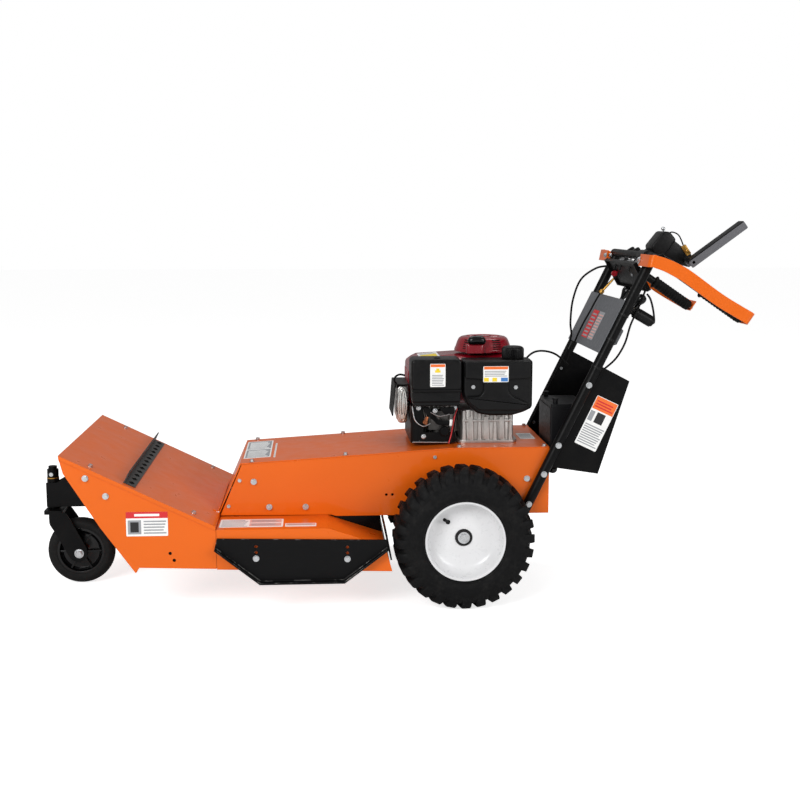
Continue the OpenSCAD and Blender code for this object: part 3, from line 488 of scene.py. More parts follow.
CAD_FINISH = (  # which nodes of the CAD model take each finish
    (ORANGE_PAINT, "frame_sides engine_deck_plate belt_cover mower_deck hood_top hood_sides "
     "hand_guards"),
    (BLACK_PAINT, "frame_crossmembers rear_flap caster_bracket caster_fork engine_shroud muffler_guard "
     "idler_arm transaxle_pulley handle_tubes handlebar battery_tray dash_panel blade_lever "
     "brake_lever presence_paddle bypass_rod"),
    (DARK_ZINC, "grip_bar"),
    (WORN_BLACK, "skid_shoes"),
    (RUBBER, "caster_tyre belts hand_grips control_cables"),
    (GLOSS_BLACK, "caster_hub recoil_grip"),
    (ZINC, "lynch_pin crankshaft_pulley spindle_shaft spindle_pulley idler_pulley idler_spring "
     "ignition_key speed_lever zinc_bolts"),
    (ALLOY, "engine_crankcase spindle_housing transaxle"),
    (RED_PLASTIC, "fan_cover recoil_housing"),
    (BLACK_PLASTIC, "fuel_tank fuel_cap air_cleaner_cover control_housing vapour_canister"),
    (DARK_ALLOY, "carburettor"),
    (HOT_STEEL, "muffler"),
    (BLADE_STEEL, "blade"),
    (TYRE, "tyre_left tyre_right"),
    (WHITE_PAINT, "rim_left rim_right"),
    (GREY_PLASTIC, "battery"),
    (GREY_PAINT, "control_cover"),
    (RED_PAINT, "throttle_lever"),
)


def dress_cad_nodes():
    for material, names in CAD_FINISH:
        for name in names.split():
            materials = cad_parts[name].data.materials
            materials.clear()
            materials.append(material)


# ---- Sheet-metal trim ----


def body_trim():
    """Strips behind the seams, backing for the open bolt holes, and black sheets of painted shade: behind the
    apron's holes, and between the frame and the deck where the gap under the frame is shaded.
    """
    strip = Piece("deck_seam_strip").use(ORANGE_PAINT)
    outer, inner = SIDE_INNER, SIDE_INNER - 3
    strip.prism([(-outer, 139), (-outer, 241.6), (outer, 241.6), (outer, 139), (inner, 139), (inner, 238.6),
                 (-inner, 238.6), (-inner, 139)], -506, -484, FACING)
    strip.prism([(-517, 266.3), (-501.5, 258.9), (-493, 277), (-494.8, 277.8), (-502.4, 261.4),
        (-517, 268.3)], -197.5, 197.5, SIDE)
    strip.place("orange_paint", bevel=0.6)
    backing = Piece("skid_bolt_doublers").use(ORANGE_PAINT)
    for x, z in SKID_BOLTS:
        backing.prism(soft(rect(x - 14, z + 9, x + 14, z + 44), 5, 3), -outer, -inner, SIDE, (0, 1), 2)
    backing.mirror()
    backing.place("orange_paint")
    # Black rubber plates behind the apron's two holes: painted shade, so the holes look dark as though shaded
    # inside.
    hole_shade = Piece("apron_hole_shade").use(RUBBER)
    hole_shade.prism(soft([(-646, 200), (-590, 200), (-578, 146), (-634, 146)], 6, 3), -outer, -351.8, SIDE,
        (0, 1.5), 3)
    hole_shade.mirror()
    hole_shade.place("rubber")
    liner = Piece("grip_bar_liner").use(RUBBER)
    lean = at(GRIP_BAR_X, 0, hood_z(GRIP_BAR_X)) @ turn(math.degrees(math.atan(HOOD_FALL)), "Y")
    liner.prism(soft(rect(-16, -337, 16, 337), 4, 3), 0.02, 0.9, lean, (0, 0.3), 2)
    liner.place("rubber")
    # Black sheets between the frame's side and the sloping rear of the deck: painted shade, filling the gap
    # under the frame where shade falls.
    gap_shade = Piece("frame_gap_shade_sheets").use(BLACK_PAINT)
    gap_shade.prism(soft([(-176, 243.4), (-156, 241.6), (-27, 241.6), (-29, 194)], 4, 3), -197.6, -193.6, SIDE,
        (0.8, 0.8), 2)
    gap_shade.mirror()
    gap_shade.place("black_paint")


def skid_welds():
    """Short weld beads between each skid's plate and its runner."""
    beads = Piece("skid_weld_beads").use(DARK_ZINC)
    corners = [Vector(p) for p in ((-499, 196), (-373.6, 97.6), (-138.4, 97.6), (-15, 189.6))]
    for leg, start, end in ((0, 0.03, 0.13), (0, 0.82, 0.99), (1, 0.4, 0.6), (2, 0.01, 0.2), (2, 0.9, 0.99)):
        a, b = corners[leg].lerp(corners[leg + 1], start), corners[leg].lerp(corners[leg + 1], end)
        count = max(3, round((b - a).length / 3))
        path, radii = [], []
        for k in range(count * 4 + 1):
            point = a.lerp(b, k / (count * 4))
            path.append((point.x, -366.4, point.y + 0.6))
            radii.append(2.4 + 0.5 * math.cos(math.pi * k / 2))
        beads.sweep(path, radii, 10)
    beads.mirror()
    beads.place("black_paint", sharp=60)


# ---- Drive wheels ----

LUGS = 28


def tyre_profile():
    """Half of the carcase's outside, from the crown to the bead, as (radius, offset) pairs."""
    return [(190.5, 0), (190.2, 22), (189, 42), (186.5, 55), (181, 66), (173, 73.5), (163, 78), (160, 77.4),
        (157, 79), (148, 80), (140, 79.6), (137.5, 80), (135, 78.6), (128, 77), (122.5, 75.2), (120, 76.4),
        (118, 75.6), (116.2, 72.6), (113.4, 63), (109, 60.2)]


def add_lug(piece, place, angle, side):
    """One tread block: from beside the crown over the shoulder and a little down the side wall."""
    stations = [  # offset from the middle, outer radius, half width at the top, sweep along the tread
        (4, 202.4, 7.5, -9), (16, 202.8, 8.6, -6), (32, 202.4, 9.6, -2), (48, 201.4, 10.6, 1.5),
        (60, 199, 11.6, 4), (67, 193.5, 12.2, 5.5), (72.5, 185.5, 12.4, 6.5), (76.5, 176, 11.6, 7.5),
        (77.8, 169, 9, 8),
    ]
    rings = []
    for offset, outer, half, sweep in stations:
        base = 188 if offset < 60 else min(outer - 3, 188) - 6
        corners = [(base, -half - 3), (outer - 1.2, -half - 0.8), (outer, 0.6 - half), (outer, half - 0.6),
                   (outer - 1.2, half + 0.8), (base, half + 3)]
        ring = []
        for radius, reach in corners:
            a = angle + (sweep + reach) / 198
            ring.append(place @ Vector((radius * math.cos(a), radius * math.sin(a), side * offset)))
        rings.append(ring)
    piece.skin(rings)


def drive_tyre(name, side):
    place = outwards(AXLE.x, AXLE.z, side * WHEEL_Y, side)
    half = tyre_profile()
    profile = [(r, -w) for r, w in reversed(half)] + half[1:]
    tyre = Piece("drive_tyre_" + name, "drive_wheel_" + name).use(TYRE)
    tyre.revolve(profile, place, steps=112, closed=True)
    for angle in around(LUGS):
        for s in (-1, 1):
            add_lug(tyre, place, angle, s)
    tyre.place("tyre_rubber", ("tyre_" + name,), sharp=40)


def drive_rim(name, side):
    place = outwards(AXLE.x, AXLE.z, side * WHEEL_Y, side)
    body = "drive_wheel_" + name
    profile = [(13, 10), (60, 10), (90, 12), (92, -10), (103, -42), (107, -70), (110, -73), (113, -74),
        (115, -72), (112, -62), (107.6, -60), (107.6, -40), (96, -10), (96, 14), (107.6, 40), (107.6, 60),
        (112, 62), (115, 72), (113.6, 74), (111, 73.6), (107.5, 70), (105.2, 58), (104, 46), (100.5, 35),
        (94, 26.5), (84, 21), (72, 18.6), (62, 18.2), (52, 18.6), (42, 20), (36, 20.6), (30, 20.6),
        (13, 20.6)]
    disc = Piece("wheel_disc_" + name, body).use(WHITE_PAINT).revolve(profile, place, steps=96, closed=True)
    disc.revolve([(20, -60), (34, -60), (34, 12), (20, 12)], place, steps=48, closed=True)
    disc.place("white_paint", ("rim_" + name,), sharp=32)
    hub = Piece("wheel_hub_ring_" + name, body).use(GLOSS_BLACK)
    hub.revolve([(13, 20), (25, 20), (25, 23), (23, 25), (13, 25)], place, steps=48, closed=True)
    hub.place("white_paint", bevel=0.4)
    axle = Piece("wheel_axle_" + name, body).use(ZINC)
    axle.revolve(solid((12, -185), (13, -184), (13, 24.8)), place, steps=40)
    axle.revolve(solid((17, 24.8), (17, 27)), place, steps=40)
    axle.revolve(solid((12.6, 27), (12.6, 31.6), (11, 33)), place, steps=6)
    axle.place("zinc", sharp=30)
    valve = Piece("wheel_valve_" + name, body).use(RUBBER)
    stem = place @ at(-46, 46, 18) @ turn(135, "Z") @ turn(34, "Y")
    valve.revolve(solid((7, -6), (7, 0), (4.6, 4), (4.2, 22), (4.8, 23), (4.8, 31), (3.6, 33)), stem,
        steps=20)
    valve.place("rubber", sharp=30)


# ---- Caster ----


def caster_wheel():
    place = outwards(CASTER.x, CASTER.z, 0)
    r, half = 101.5, 25
    outer = [(r - 22 + 22 * math.cos(a), half * math.sin(a)) for a in
             [math.radians(-80 + 160 * k / 22) for k in range(23)]]
    profile = [(72, -22)] + outer + [(72, 22)]
    tyre = Piece("caster_rubber_tyre", "caster_wheel").use(CASTER_RUBBER).revolve(profile, place, steps=96,
        closed=True)
    tyre.place("rubber", ("caster_tyre",), sharp=40)
    hub = Piece("caster_wheel_hub", "caster_wheel").use(GLOSS_BLACK)
    hub.revolve([(7.95, -37), (18, -37), (20, -36), (22, -14), (30, -9), (54, -8), (60, -12), (64, -21),
        (71.9, -21), (71.9, 21), (64, 21), (60, 12), (54, 8), (30, 9), (22, 14), (20, 36), (18, 37),
        (7.95, 37)], place, steps=72, closed=True)
    for k in range(6):
        rib = place @ turn(60 * k, "Z")
        for s in (-1, 1):
            hub.skin([[rib @ Vector((x, y, s * z)) for x, z in ((19, 5), (62, 5), (62, 16.5), (19, 23))]
                for y in (-3, 3)])
    hub.place("black_plastic", ("caster_hub",), sharp=35, bevel=0.8)
    bolt = Piece("caster_axle_bolt", "caster_fork").use(ZINC)
    for s in (-1, 1):
        head = outwards(CASTER.x, CASTER.z, s * 48.1, s)
        bolt.revolve(solid((14, 0), (14, 2)), head, steps=32)
        bolt.revolve(solid((11, 2), (11, 8.4), (9.5, 10)), head, steps=6)
    bolt.place("zinc", sharp=30)


def caster_trim():
    """Bronze washers below and above the caster's pivot tube."""
    washers = Piece("caster_pivot_washers", "caster_fork").use(BRASS)
    for low, high, radius in ((236.2, 241.4, 18.4), (326.6, 329.8, 18)):
        washers.revolve([(12.8, low), (radius, low), (radius, high), (12.8, high)], at(PIVOT_X, 0, 0),
            closed=True)
    washers.place("zinc", bevel=0.4)


# ---- Engine ----


def fuel_tank():
    tank = Piece("fuel_tank_shell").use(BLACK_PLASTIC)
    body = soft([(219, 695), (219, 600), (230, 566), (262, 536), (300, 530), (364, 530), (400, 540),
        (425, 553), (425, 695)], 10, 6)
    tank.prism(body, -166, -76, SIDE, (9, 8), 5)
    panel = soft([(223, 692), (223, 643), (278, 639), (278, 604), (268, 590), (226, 588), (240, 566),
        (266, 548), (390, 547), (417, 564), (366, 588), (352, 602), (350, 639), (419, 642), (419, 692)],
        6.5, 5)
    tank.prism(panel, -178, -160, SIDE, (4, 0), 4)
    tank.revolve([(24, 684), (29, 690), (30, 696.4), (24, 696.6)], at(371, -122, 0), closed=True)
    tank.place("black_plastic", ("fuel_tank",), sharp=34)
    seam = Piece("fuel_tank_seam").use(BLACK_PLASTIC)
    seam.prism(inset(body, -1.2), -124, -120, SIDE, (1, 1), 2)
    seam.place("black_plastic")


def fuel_cap():
    cap = Piece("fuel_cap_ribbed", "fuel_cap").use(BLACK_PLASTIC)
    place = at(371, -122, 0)
    ribs = 36
    rings = []
    for z, wave, radius in ((697, 0.2, 30.4), (699, 1, 31.6), (724, 1, 31.6), (728, 0.6, 30.4),
            (731.4, 0.1, 27), (732.6, 0, 23)):
        polar = [(radius + wave * 1.5 * math.cos(a * ribs), a) for a in around(ribs * 6)]
        rings.append([place @ Vector((r * math.cos(a), r * math.sin(a), z)) for r, a in polar])
    cap.skin(rings)
    cap.revolve(solid((22.6, 689.2), (22.6, 698)), place)
    cap.prism(soft(rect(-21, -4, 21, 4), 3), 731, 733, place, (0, 1), 3)
    cap.place("black_plastic", ("fuel_cap",), sharp=40)


def air_cleaner():
    cover = Piece("air_cleaner_shell").use(BLACK_PLASTIC)
    cover.prism(soft(rect(65, 606, 214, 700), 14, 6), -176, -76, SIDE, (8, 4), 5)
    cover.prism(soft(rect(68, 572, 211, 611), 6, 4), -172, -78, SIDE, (5, 2), 4)
    cover.prism(soft(rect(66, 604, 213, 611), 3, 3), -178.4, -90, SIDE, (2, 2), 3)
    cover.prism(soft(rect(70, 561, 209, 580), 6, 4), -166, -78, SIDE, (3, 2), 3)
    cover.prism(soft(rect(134, 694, 152, 703), 3, 3), -150, -120, SIDE, (2, 2), 3)
    cover.place("black_plastic", ("air_cleaner_cover",), sharp=34)


def fan_shroud():
    shroud = Piece("fan_cover_shell").use(RED_PLASTIC)
    base = soft(rect(66, -70, 398, 150), 36, 8)
    levels = [(556, 0, 0), (560, -1, 0), (566, 0, 0), (640, 0, 0), (668, 1, 0.2), (680, 5, 0.5),
        (689, 12, 0.75), (697, 22, 0.9), (702, 33, 1.0), (705, 46, 1.0)]
    rings = []
    for z, cut, lean in levels:
        ring = inset(base, cut * 0.8)
        rings.append([Vector((x, y, z - 0.11 * lean * max(0, 250 - x))) for x, y in ring])
    shroud.skin(rings)
    for k in range(7):
        y = -40 + 22 * k
        shroud.prism(soft(rect(y, 590, y + 12, 650), 4, 3), 64.2, 68, FACING, (1, 0), 2)
    shroud.place("red_plastic", ("fan_cover",), sharp=34)


def recoil():
    place = at(CRANK_X, 20, 707)
    dome = Piece("recoil_dome").use(RED_PLASTIC)
    profile = solid((88, -1), (88, 3), (86.5, 8), (84, 12), (81, 22), (77, 32), (73, 38), (67, 41.6),
        (60, 43), (52, 43.6), (50, 41.6), (22, 41.6), (20, 44))
    dome.revolve(profile, place, steps=72)
    for k in range(10):
        dome.prism(soft(rect(26, -2.2, 49, 2.2), 2), 40, 43.2, place @ turn(36 * k + 12, "Z"), (0, 0.8), 2)
    dome.prism(soft(rect(-62, -102, -8, -40), 10, 4), 0, 27, place, (0, 5), 4)
    dome.place("red_plastic", ("recoil_housing",), sharp=34)
    # Gloss black arcs where the housing's slots are: painted shade, standing for the dark inside of the
    # openings.
    slot_shade = Piece("recoil_slot_shade").use(GLOSS_BLACK)
    for centre in (-66, -133):
        for k in range(5):
            z = 8 + 6.5 * k
            radius = 88.8 - 0.33 * z
            a0, a1 = math.radians(centre - 10), math.radians(centre + 10)
            arc = [a0 + (a1 - a0) * j / 6 for j in range(7)]
            outline = [(radius * math.cos(a), radius * math.sin(a)) for a in arc]
            outline += [((radius - 6) * math.cos(a), (radius - 6) * math.sin(a)) for a in reversed(arc)]
            slot_shade.prism(outline, z, z + 3, place)
    slot_shade.place("black_plastic")
    grip = Piece("recoil_pull_grip", "recoil_grip").use(GLOSS_BLACK)
    middle = Vector((268, -84, 747.5))
    half = 28
    rings = []
    for k in range(15):
        t = -1 + 2 * k / 14
        bulge = 13.5 * math.sqrt(max(0.02, 1 - abs(t) ** 5))
        dip = 5 * (1 - t * t)
        rings.append([middle + Vector((half * t, bulge * 0.95 * math.cos(a) - dip * 0.2,
            bulge * math.sin(a) - 4 * t * t)) for a in around(20)])
    grip.skin(rings)
    grip.revolve([(TIP, 0), (9, 0), (8, 10), (6.4, 23), (TIP, 24)], pointing(middle, (0, 1, 0)), steps=24)
    grip.place("black_plastic", ("recoil_grip",), sharp=50)


def crankcase():
    case = Piece("crankcase_casting").use(ALLOY)
    case.prism(soft(rect(207, -123, 389, 123), 30, 8), 441, 450, FLAT, (0.5, 1.5), 3)
    case.prism(soft(rect(216, -113, 380, 113), 34, 8), 450, 541, FLAT, (0, 3), 3)
    for side in (-1, 1):
        for k in range(7):
            x = 228 + 23.5 * k
            case.revolve([(TIP, 450), (8.5, 450), (6.8, 500), (6.8, 538), (TIP, 540)],
                at(x, side * 111, 0), steps=20)
            case.revolve([(TIP, 441.5), (10, 441.5), (9, 453), (TIP, 454)], at(x, side * 111, 0), steps=20)
        for x in (240, 287, 334):
            case.box((x, side * 116 - 4, 452), (x + 12, side * 116 + 3, 520))
        case.prism(soft(rect(222, 505, 374, 512), 2), 112, 119, SIDE @ Matrix.Scale(side, 4, (0, 0, 1)),
            (1, 1), 2)
    for k in range(9):
        case.prism(soft(rect(98 + 13 * k, -66, 103 + 13 * k, 66), 1.5, 2), 456, 554, FLAT, (1, 1), 2)
    case.prism(soft(rect(100, -52, 218, 52), 10), 466, 553, FLAT)
    case.prism(soft(rect(78, -57, 100, 57), 8), 462, 553, FLAT, (2, 2), 3)
    case.place("cast_alloy", ("engine_crankcase",), sharp=38)


def muffler():
    can = Piece("muffler_can").use(HOT_STEEL)
    outline = soft([(30, 498), (60, 498), (60, 610), (30, 610)], 13, 8)
    can.prism(outline, -84, 78, SIDE, (3, 3), 3)
    can.prism(inset(outline, -1.4), -30, -26, SIDE, (1, 1), 2)
    for side in (-1, 1):
        for wide, tall, depth in ((12.5, 51, 83.5), (6, 44, 84.5)):
            middle = -depth if side < 0 else depth - 5  # the far end is set in a little
            can.sweep([(45 + wide * math.cos(a), middle, 554 + tall * math.sin(a)) for a in around(44)],
                3.6, 14, closed=True)
    can.sweep([(45, -80, 520), (45, -92, 519)], 7, 20)
    can.revolve(solid((19, 0), (19, 6)), at(59.5, 0, 540) @ turn(90, "Y"), steps=32)
    can.place("hot_steel", ("muffler",), sharp=38)
    guard = Piece("muffler_heat_guard").use(BLACK_PAINT)
    lean = math.degrees(math.atan2(8, 96))
    plate = at(14, 0, 520) @ turn(lean, "Y") @ FACING
    guard.prism(rect(-88, 0, 80, 14), 0, 3, plate)
    guard.prism(rect(-88, 80, 80, 96), 0, 3, plate)
    for y0, y1 in ((-88, -72), (-58, -44), (-30, -16), (-2, 12), (26, 40), (54, 80)):
        guard.prism(rect(y0, 0, y1, 96), 0, 3, plate)
    guard.prism(rect(22, -88, 64, 80), 613, 616)
    guard.sweep(smooth_path([(54, -66, 640), (38, -66, 643), (25, -66, 636), (22, -66, 624), (30, -66, 614),
                             (40, -66, 612)]), 3, 14)
    guard.place("black_paint", ("muffler_guard",), bevel=0.6)


def engine_trim():
    """Small pieces round the carburettor: bolts, links, a copper fitting and the wires to the harness."""
    bolts = Piece("engine_trim_bolts").use(ZINC)
    for x, z, y in ((89, 552, -140.2), (137, 545, -152), (196, 552, -140.2), (104, 466, -140.2)):
        bolts.revolve(solid((7, 0), (7, 1.2), (5, 1.6), (5, 5), (4, 6)), outwards(x, z, y), steps=24)
    bolts.sweep([(137, -130, 545), (137, -153, 545)], 3, 12)
    bolts.sweep(bent([(72, -141, 449.5), (186, -141, 447.5), (200, -120, 447.5)], 10), 1.8, 10)
    bolts.place("zinc", sharp=30)
    links = Piece("carburettor_links").use(BLACK_PAINT)
    links.prism(soft([(104, 556), (118, 556), (150, 516), (186, 512), (186, 500), (144, 502), (106, 540)],
        5, 4), -146, -142, SIDE, (0.6, 0.6), 2)
    links.prism(soft([(150, 552), (196, 556), (196, 536), (168, 530)], 6, 4), -150, -142, SIDE, (1, 1), 2)
    links.revolve(solid((15, 0), (15, 8), (12, 11)), outwards(166, 482, -140), steps=32)
    links.use(ZINC)
    links.sweep(smooth_path([(70, -143, 558), (73, -147, 536), (80, -149, 514), (102, -149, 498),
        (124, -147, 506)]), 1.6, 10)
    links.sweep(smooth_path([(124, -148, 540), (150, -149, 528), (182, -149, 534)]), 1.4, 10)
    links.place("black_paint", sharp=34)
    copper = Piece("fuel_line_fitting").use(COPPER)
    joint = pointing((107, -145, 504), (0.35, -0.1, 1))
    copper.revolve(solid((5, 0), (7.5, 2), (7.5, 9), (5.5, 11), (5, 20), (3.5, 24)), joint, steps=6)
    copper.place("zinc", sharp=30)
    plug = Piece("harness_connector").use(INK["white"])
    plug.revolve(solid((4, 0), (5, 2), (5, 17), (4, 19)), pointing((184, -143, 498), (0.1, 0, 1)), steps=20)
    plug.place("white_paint", sharp=34)
    route = [(206, -128, 548), (198, -134, 528), (192, -138, 500), (186, -142, 470), (178, -150, 446)]
    for name, material, shift in (("red", RED_WIRE, 0), ("black", RUBBER, 5)):
        wire = Piece("engine_wire_" + name).use(material)
        wire.sweep(smooth_path([(x + shift, y + shift / 2, z) for x, y, z in route]), 2, 10)
        wire.place("rubber")


# ---- Handle and controls ----


def handlebar():
    tube = Piece("handlebar_tube").use(BLACK_PAINT)
    corners = [(end.x, side * BAR_Y, end.z) for side, end in
               ((-1, BAR_END), (-1, BAR_FRONT), (1, BAR_FRONT), (1, BAR_END))]
    tube.sweep(bent(corners, 30), 12.7, 28)
    tube.place("black_paint", ("handlebar",), sharp=40)


def hand_grips():
    grips = Piece("hand_grip_sleeves").use(RUBBER)
    profile = [(12.8, 0), (20, 0), (21, 1.5), (21, 4.5), (18.5, 7), (16.8, 10)]
    for k in range(12):
        h = 14 + 10 * k
        profile += [(16.6, h), (17.7, h + 1.5), (17.7, h + 5.5), (16.6, h + 7)]
    profile += [(16.8, 136), (16.2, 142), (13, 144.5), (TIP, 145)]
    along = BAR_END - BAR_FRONT
    for side in (-1, 1):
        place = pointing((BAR_FRONT.x, side * BAR_Y, BAR_FRONT.z), along) @ at(0, 0, along.length - 118)
        grips.revolve(profile, place, steps=36)
    grips.place("rubber", ("hand_grips",), sharp=50)


def guard_ring(top, bottom, out, side, normal):
    """The strip's section between its upper and lower edge, 4 mm thick, at distance out from the middle."""
    outer = [Vector((point[0], side * out, point[2])) for point in (top, bottom)]
    inner = [point - 4 * Vector((normal[0], side * normal[1], normal[2])) for point in outer]
    return [outer[0], outer[1], inner[1], inner[0]]


def hand_guards():
    """Strips outside the grips: a flange at the tube, a round bend, the long side and a turned-in end."""
    tops = smooth_path([(742, 0, 1005), (776, 0, 995), (812, 0, 979), (848, 0, 958), (940, 0, 893),
        (1024, 0, 844)], 5)
    bottoms = smooth_path([(735, 0, 971), (764, 0, 961), (796, 0, 945), (827, 0, 927), (919, 0, 863),
        (1004, 0, 814)], 5)
    along = (BAR_END - BAR_FRONT).normalized()
    quarter = [math.pi / 2 * k / 6 for k in range(7)]
    guards = Piece("hand_guard_strips").use(ORANGE_PAINT)
    for side in (-1, 1):
        rings = [guard_ring((727, 0, 1006), (720, 0, 972), 206, side, (-1, 0, 0))]
        for a in quarter:
            shift = Vector((15 - 15 * math.cos(a), 0, 0))
            rings.append(guard_ring(Vector((727, 0, 1006)) + shift, Vector((720, 0, 972)) + shift,
                                    304 + 15 * math.sin(a), side, (-math.cos(a), math.sin(a), 0)))
        for top, bottom in zip(tops[1:], bottoms[1:]):
            rings.append(guard_ring(top, bottom, 319, side, (0, 1, 0)))
        for a in quarter[1:]:
            shift = along * 12 * math.sin(a)
            rings.append(guard_ring(tops[-1] + shift, bottoms[-1] + shift, 307 + 12 * math.cos(a), side,
                                    along * math.sin(a) + Vector((0, math.cos(a), 0))))
        rings.append(guard_ring(tops[-1] + along * 12, bottoms[-1] + along * 12, 242, side, along))
        guards.skin(rings)
    guards.place("orange_paint", ("hand_guards",), bevel=0.8, sharp=34)
    bolts = Piece("hand_guard_bolts").use(ZINC)
    for side in (-1, 1):
        place = pointing((722.6, side * 214, 990), (-1, 0, 0))
        for depth in (0, -16):
            bolts.revolve(solid((8.5, 0), (8.5, 1.5), (6, 2), (6, 6), (5, 7)),
                          place @ at(0, 0, depth), steps=24)
    bolts.place("zinc", sharp=30)


def presence_paddle():
    pivot, tip = Vector((862, 0, 984)), Vector((1007, 0, 1090))
    rise = math.degrees(math.atan2(tip.z - pivot.z, tip.x - pivot.x))
    long = (tip - pivot).length
    place = at(pivot.x, -BAR_Y, pivot.z) @ turn(-rise, "Y")
    paddle = Piece("presence_paddle_channel", "presence_paddle").use(PADDLE_GREY)
    side = soft([(-12, -12), (long + 2, -12), (long + 2, 9.4), (-12, 9.4)], 4, 3)
    for y in (-22, 19):
        paddle.prism(side, y, y + 3, place @ SIDE)
    paddle.box((long - 1, -20, -10), (long + 2, 20, 9.4), place)
    # The top plate takes black paint as painted shade: the channel's top is drawn darker than its grey sides.
    paddle.use(BLACK_PAINT)
    paddle.prism(soft(rect(-12, -22, long + 2, 22), 3, 3), 9, 12, place, (0, 1.4), 3)
    paddle.sweep([(pivot.x, -BAR_Y - 22, pivot.z), (pivot.x, -150, pivot.z)], 4.9, 20)
    paddle.place("black_paint", ("presence_paddle",), bevel=0.6, sharp=34)


def control_housing():
    housing = Piece("control_housing_shell").use(BLACK_PLASTIC)
    box = soft([(762, 1028), (796, 1071), (817, 1069), (836, 1046), (808, 1006), (772, 1000)], 7, 5)
    housing.prism(box, -190, -112, SIDE, (6, 6), 4)
    wing = soft([(792, 1008), (820, 1052), (884, 1003), (876, 966), (846, 976), (800, 1002)], 6, 4)
    for y in (-186, -128):
        housing.prism(wing, y, y + 12, SIDE, (2, 2), 3)
    housing.box((792, -176, 1000), (812, -126, 1030))
    place = pointing((BAR_FRONT.x, -190, BAR_FRONT.z), (0, 1, 0))
    housing.revolve([(12.76, 0), (17, 0), (18, 1), (18, 77), (17, 78), (12.76, 78)], place, steps=40,
        closed=True)
    housing.place("black_plastic", ("control_housing",), sharp=34)
    cable = Piece("control_housing_cable").use(RUBBER)
    cable.sweep(smooth_path([(806, -182, 1060), (822, -184, 1068), (840, -184, 1062), (850, -184, 1048),
                             (857, -184, 1031)]), 2, 10)
    cable.place("rubber")
    block = Piece("cable_clamp_block").use(BRASS)
    block.prism(soft([(850, 1025), (863, 1033), (881, 1007), (868, 999)], 2, 3), -190, -178, SIDE, (1, 1), 2)
    block.revolve(solid((4, 0), (4, 3), (2.4, 4)), outwards(867, 1014, -190), steps=6)
    block.place("zinc", sharp=30)


def knob_lever(name, y, knob):
    """A lever on the shaft behind the cover, with a drop-shaped knob."""
    hub, top = Vector((668, y, 768)), Vector((knob[0], y, knob[1]))
    along = (top - hub).normalized()
    lever = Piece(name + "_rod", name).use(BLACK_PAINT)
    eye = pointing(hub, (0, 1, 0))
    lever.revolve([(6.06, -9), (11.4, -9), (12, -8.4), (12, 8.4), (11.4, 9), (6.06, 9)], eye, steps=40,
        closed=True)
    lever.sweep([hub + 11 * along, top - 10 * along], 5, 18)
    lever.use(GLOSS_BLACK)
    lever.revolve([(5.2, -32), (6.4, -31), (7.6, -22), (11.6, -11), (14.4, -4), (15.2, 2), (14, 8), (10, 13),
                   (4, 15.6), (TIP, 16)], pointing(top, along), steps=36)
    lever.place("black_plastic", (name,), sharp=40)


def bypass_rod():
    rod = Piece("bypass_rod_with_knob", "bypass_rod").use(ZINC)
    rod.sweep([(420, -60, 347), (500, -60, 347)], 4.96, 18)
    rod.use(GLOSS_BLACK)
    rod.revolve([(5.4, -16), (7.4, -15), (11.6, -9), (13.8, -3), (14, 1), (12.6, 7), (9, 11.4), (4, 13.6),
        (TIP, 14)], pointing((509, -60, 347), (1, 0, 0)), steps=36)
    rod.place("black_plastic", ("bypass_rod",), sharp=40)


def vapour_canister():
    start, end = Vector((722, -168, 836)), Vector((774, -168, 806))
    place = pointing(start, end - start)
    can = Piece("vapour_canister_shell").use(BLACK_PLASTIC)
    can.revolve(solid((11, -6), (12, -5), (12, 0), (15.6, 0.4), (17, 2), (17, 10), (16.2, 11),
        (16.2, 13), (17, 14), (17, 56), (16.2, 57), (16.2, 58.4), (17, 59), (16, 60.6), (13, 61), (13, 65)),
        place, steps=40)
    can.place("black_plastic", ("vapour_canister",), sharp=34)
    hose = Piece("vapour_hose").use(GREY_PLASTIC)
    hose.sweep(smooth_path([(758, -170, 888), (768, -172, 874), (776, -174, 846), (780, -176, 818),
        (779, -178, 804), (771, -178, 802)]), 3, 12)
    hose.place("rubber")


CABLES = [  # the routes in the CAD source: radius, then points in order from the controls down
    ("throttle_cable", 3.2, [
        (712, 150, 958), (676, 154, 950), (630, 156, 915), (606, 158, 850), (600, 160, 780), (604, 164, 735),
        (590, 168, 690)]),
    ("engine_harness", 3.2, [
        (428, 60, 640), (440, 64, 670), (466, 70, 692), (500, 76, 696), (540, 80, 684), (580, 84, 650)]),
    ("drive_cable", 2.8, [
        (716, 40, 930), (690, 44, 905), (664, 48, 870), (640, 60, 820), (616, 80, 765), (594, 100, 700),
        (580, 110, 650)]),
    ("tube_cable", 3.0, [
        (748, -192, 902), (728, -194, 850), (706, -194, 800), (690, -194, 745), (664, -193, 700),
        (630, -188, 668)]),
]


def control_cables():
    for name, radius, points in CABLES:
        cable = Piece(name).use(RUBBER)
        cable.sweep(smooth_path(points, 8), radius, 16)
        cable.place("rubber", ("control_cables",))
    fitting = Piece("drive_cable_adjuster").use(BRASS)
    upper, lower = Vector((708, 41, 922)), Vector((672, 46, 882))
    place = pointing(lower, upper - lower)
    fitting.revolve([(3, -6), (6.5, -5), (7.5, -2), (7.5, 4), (6.5, 7), (3.6, 8), (3.6, 30), (3, 54)],
        place, steps=24)
    fitting.place("zinc", sharp=34)
    ties = Piece("cable_ties").use(BLACK_PLASTIC)
    for s in (470, 560, 640):
        foot = on_tube(s)
        place = pointing((foot.x, -213, foot.z), on_tube(1) - on_tube(0))
        ties.revolve([(15.05, -3), (16.4, -3), (16.8, 0), (16.4, 3), (15.05, 3)], place, steps=32,
            closed=True)
        ties.prism(soft(rect(14, -4, 22, 4), 2, 3), -4, 4, place @ turn(180, "Z"))
    ties.place("black_plastic", sharp=34)


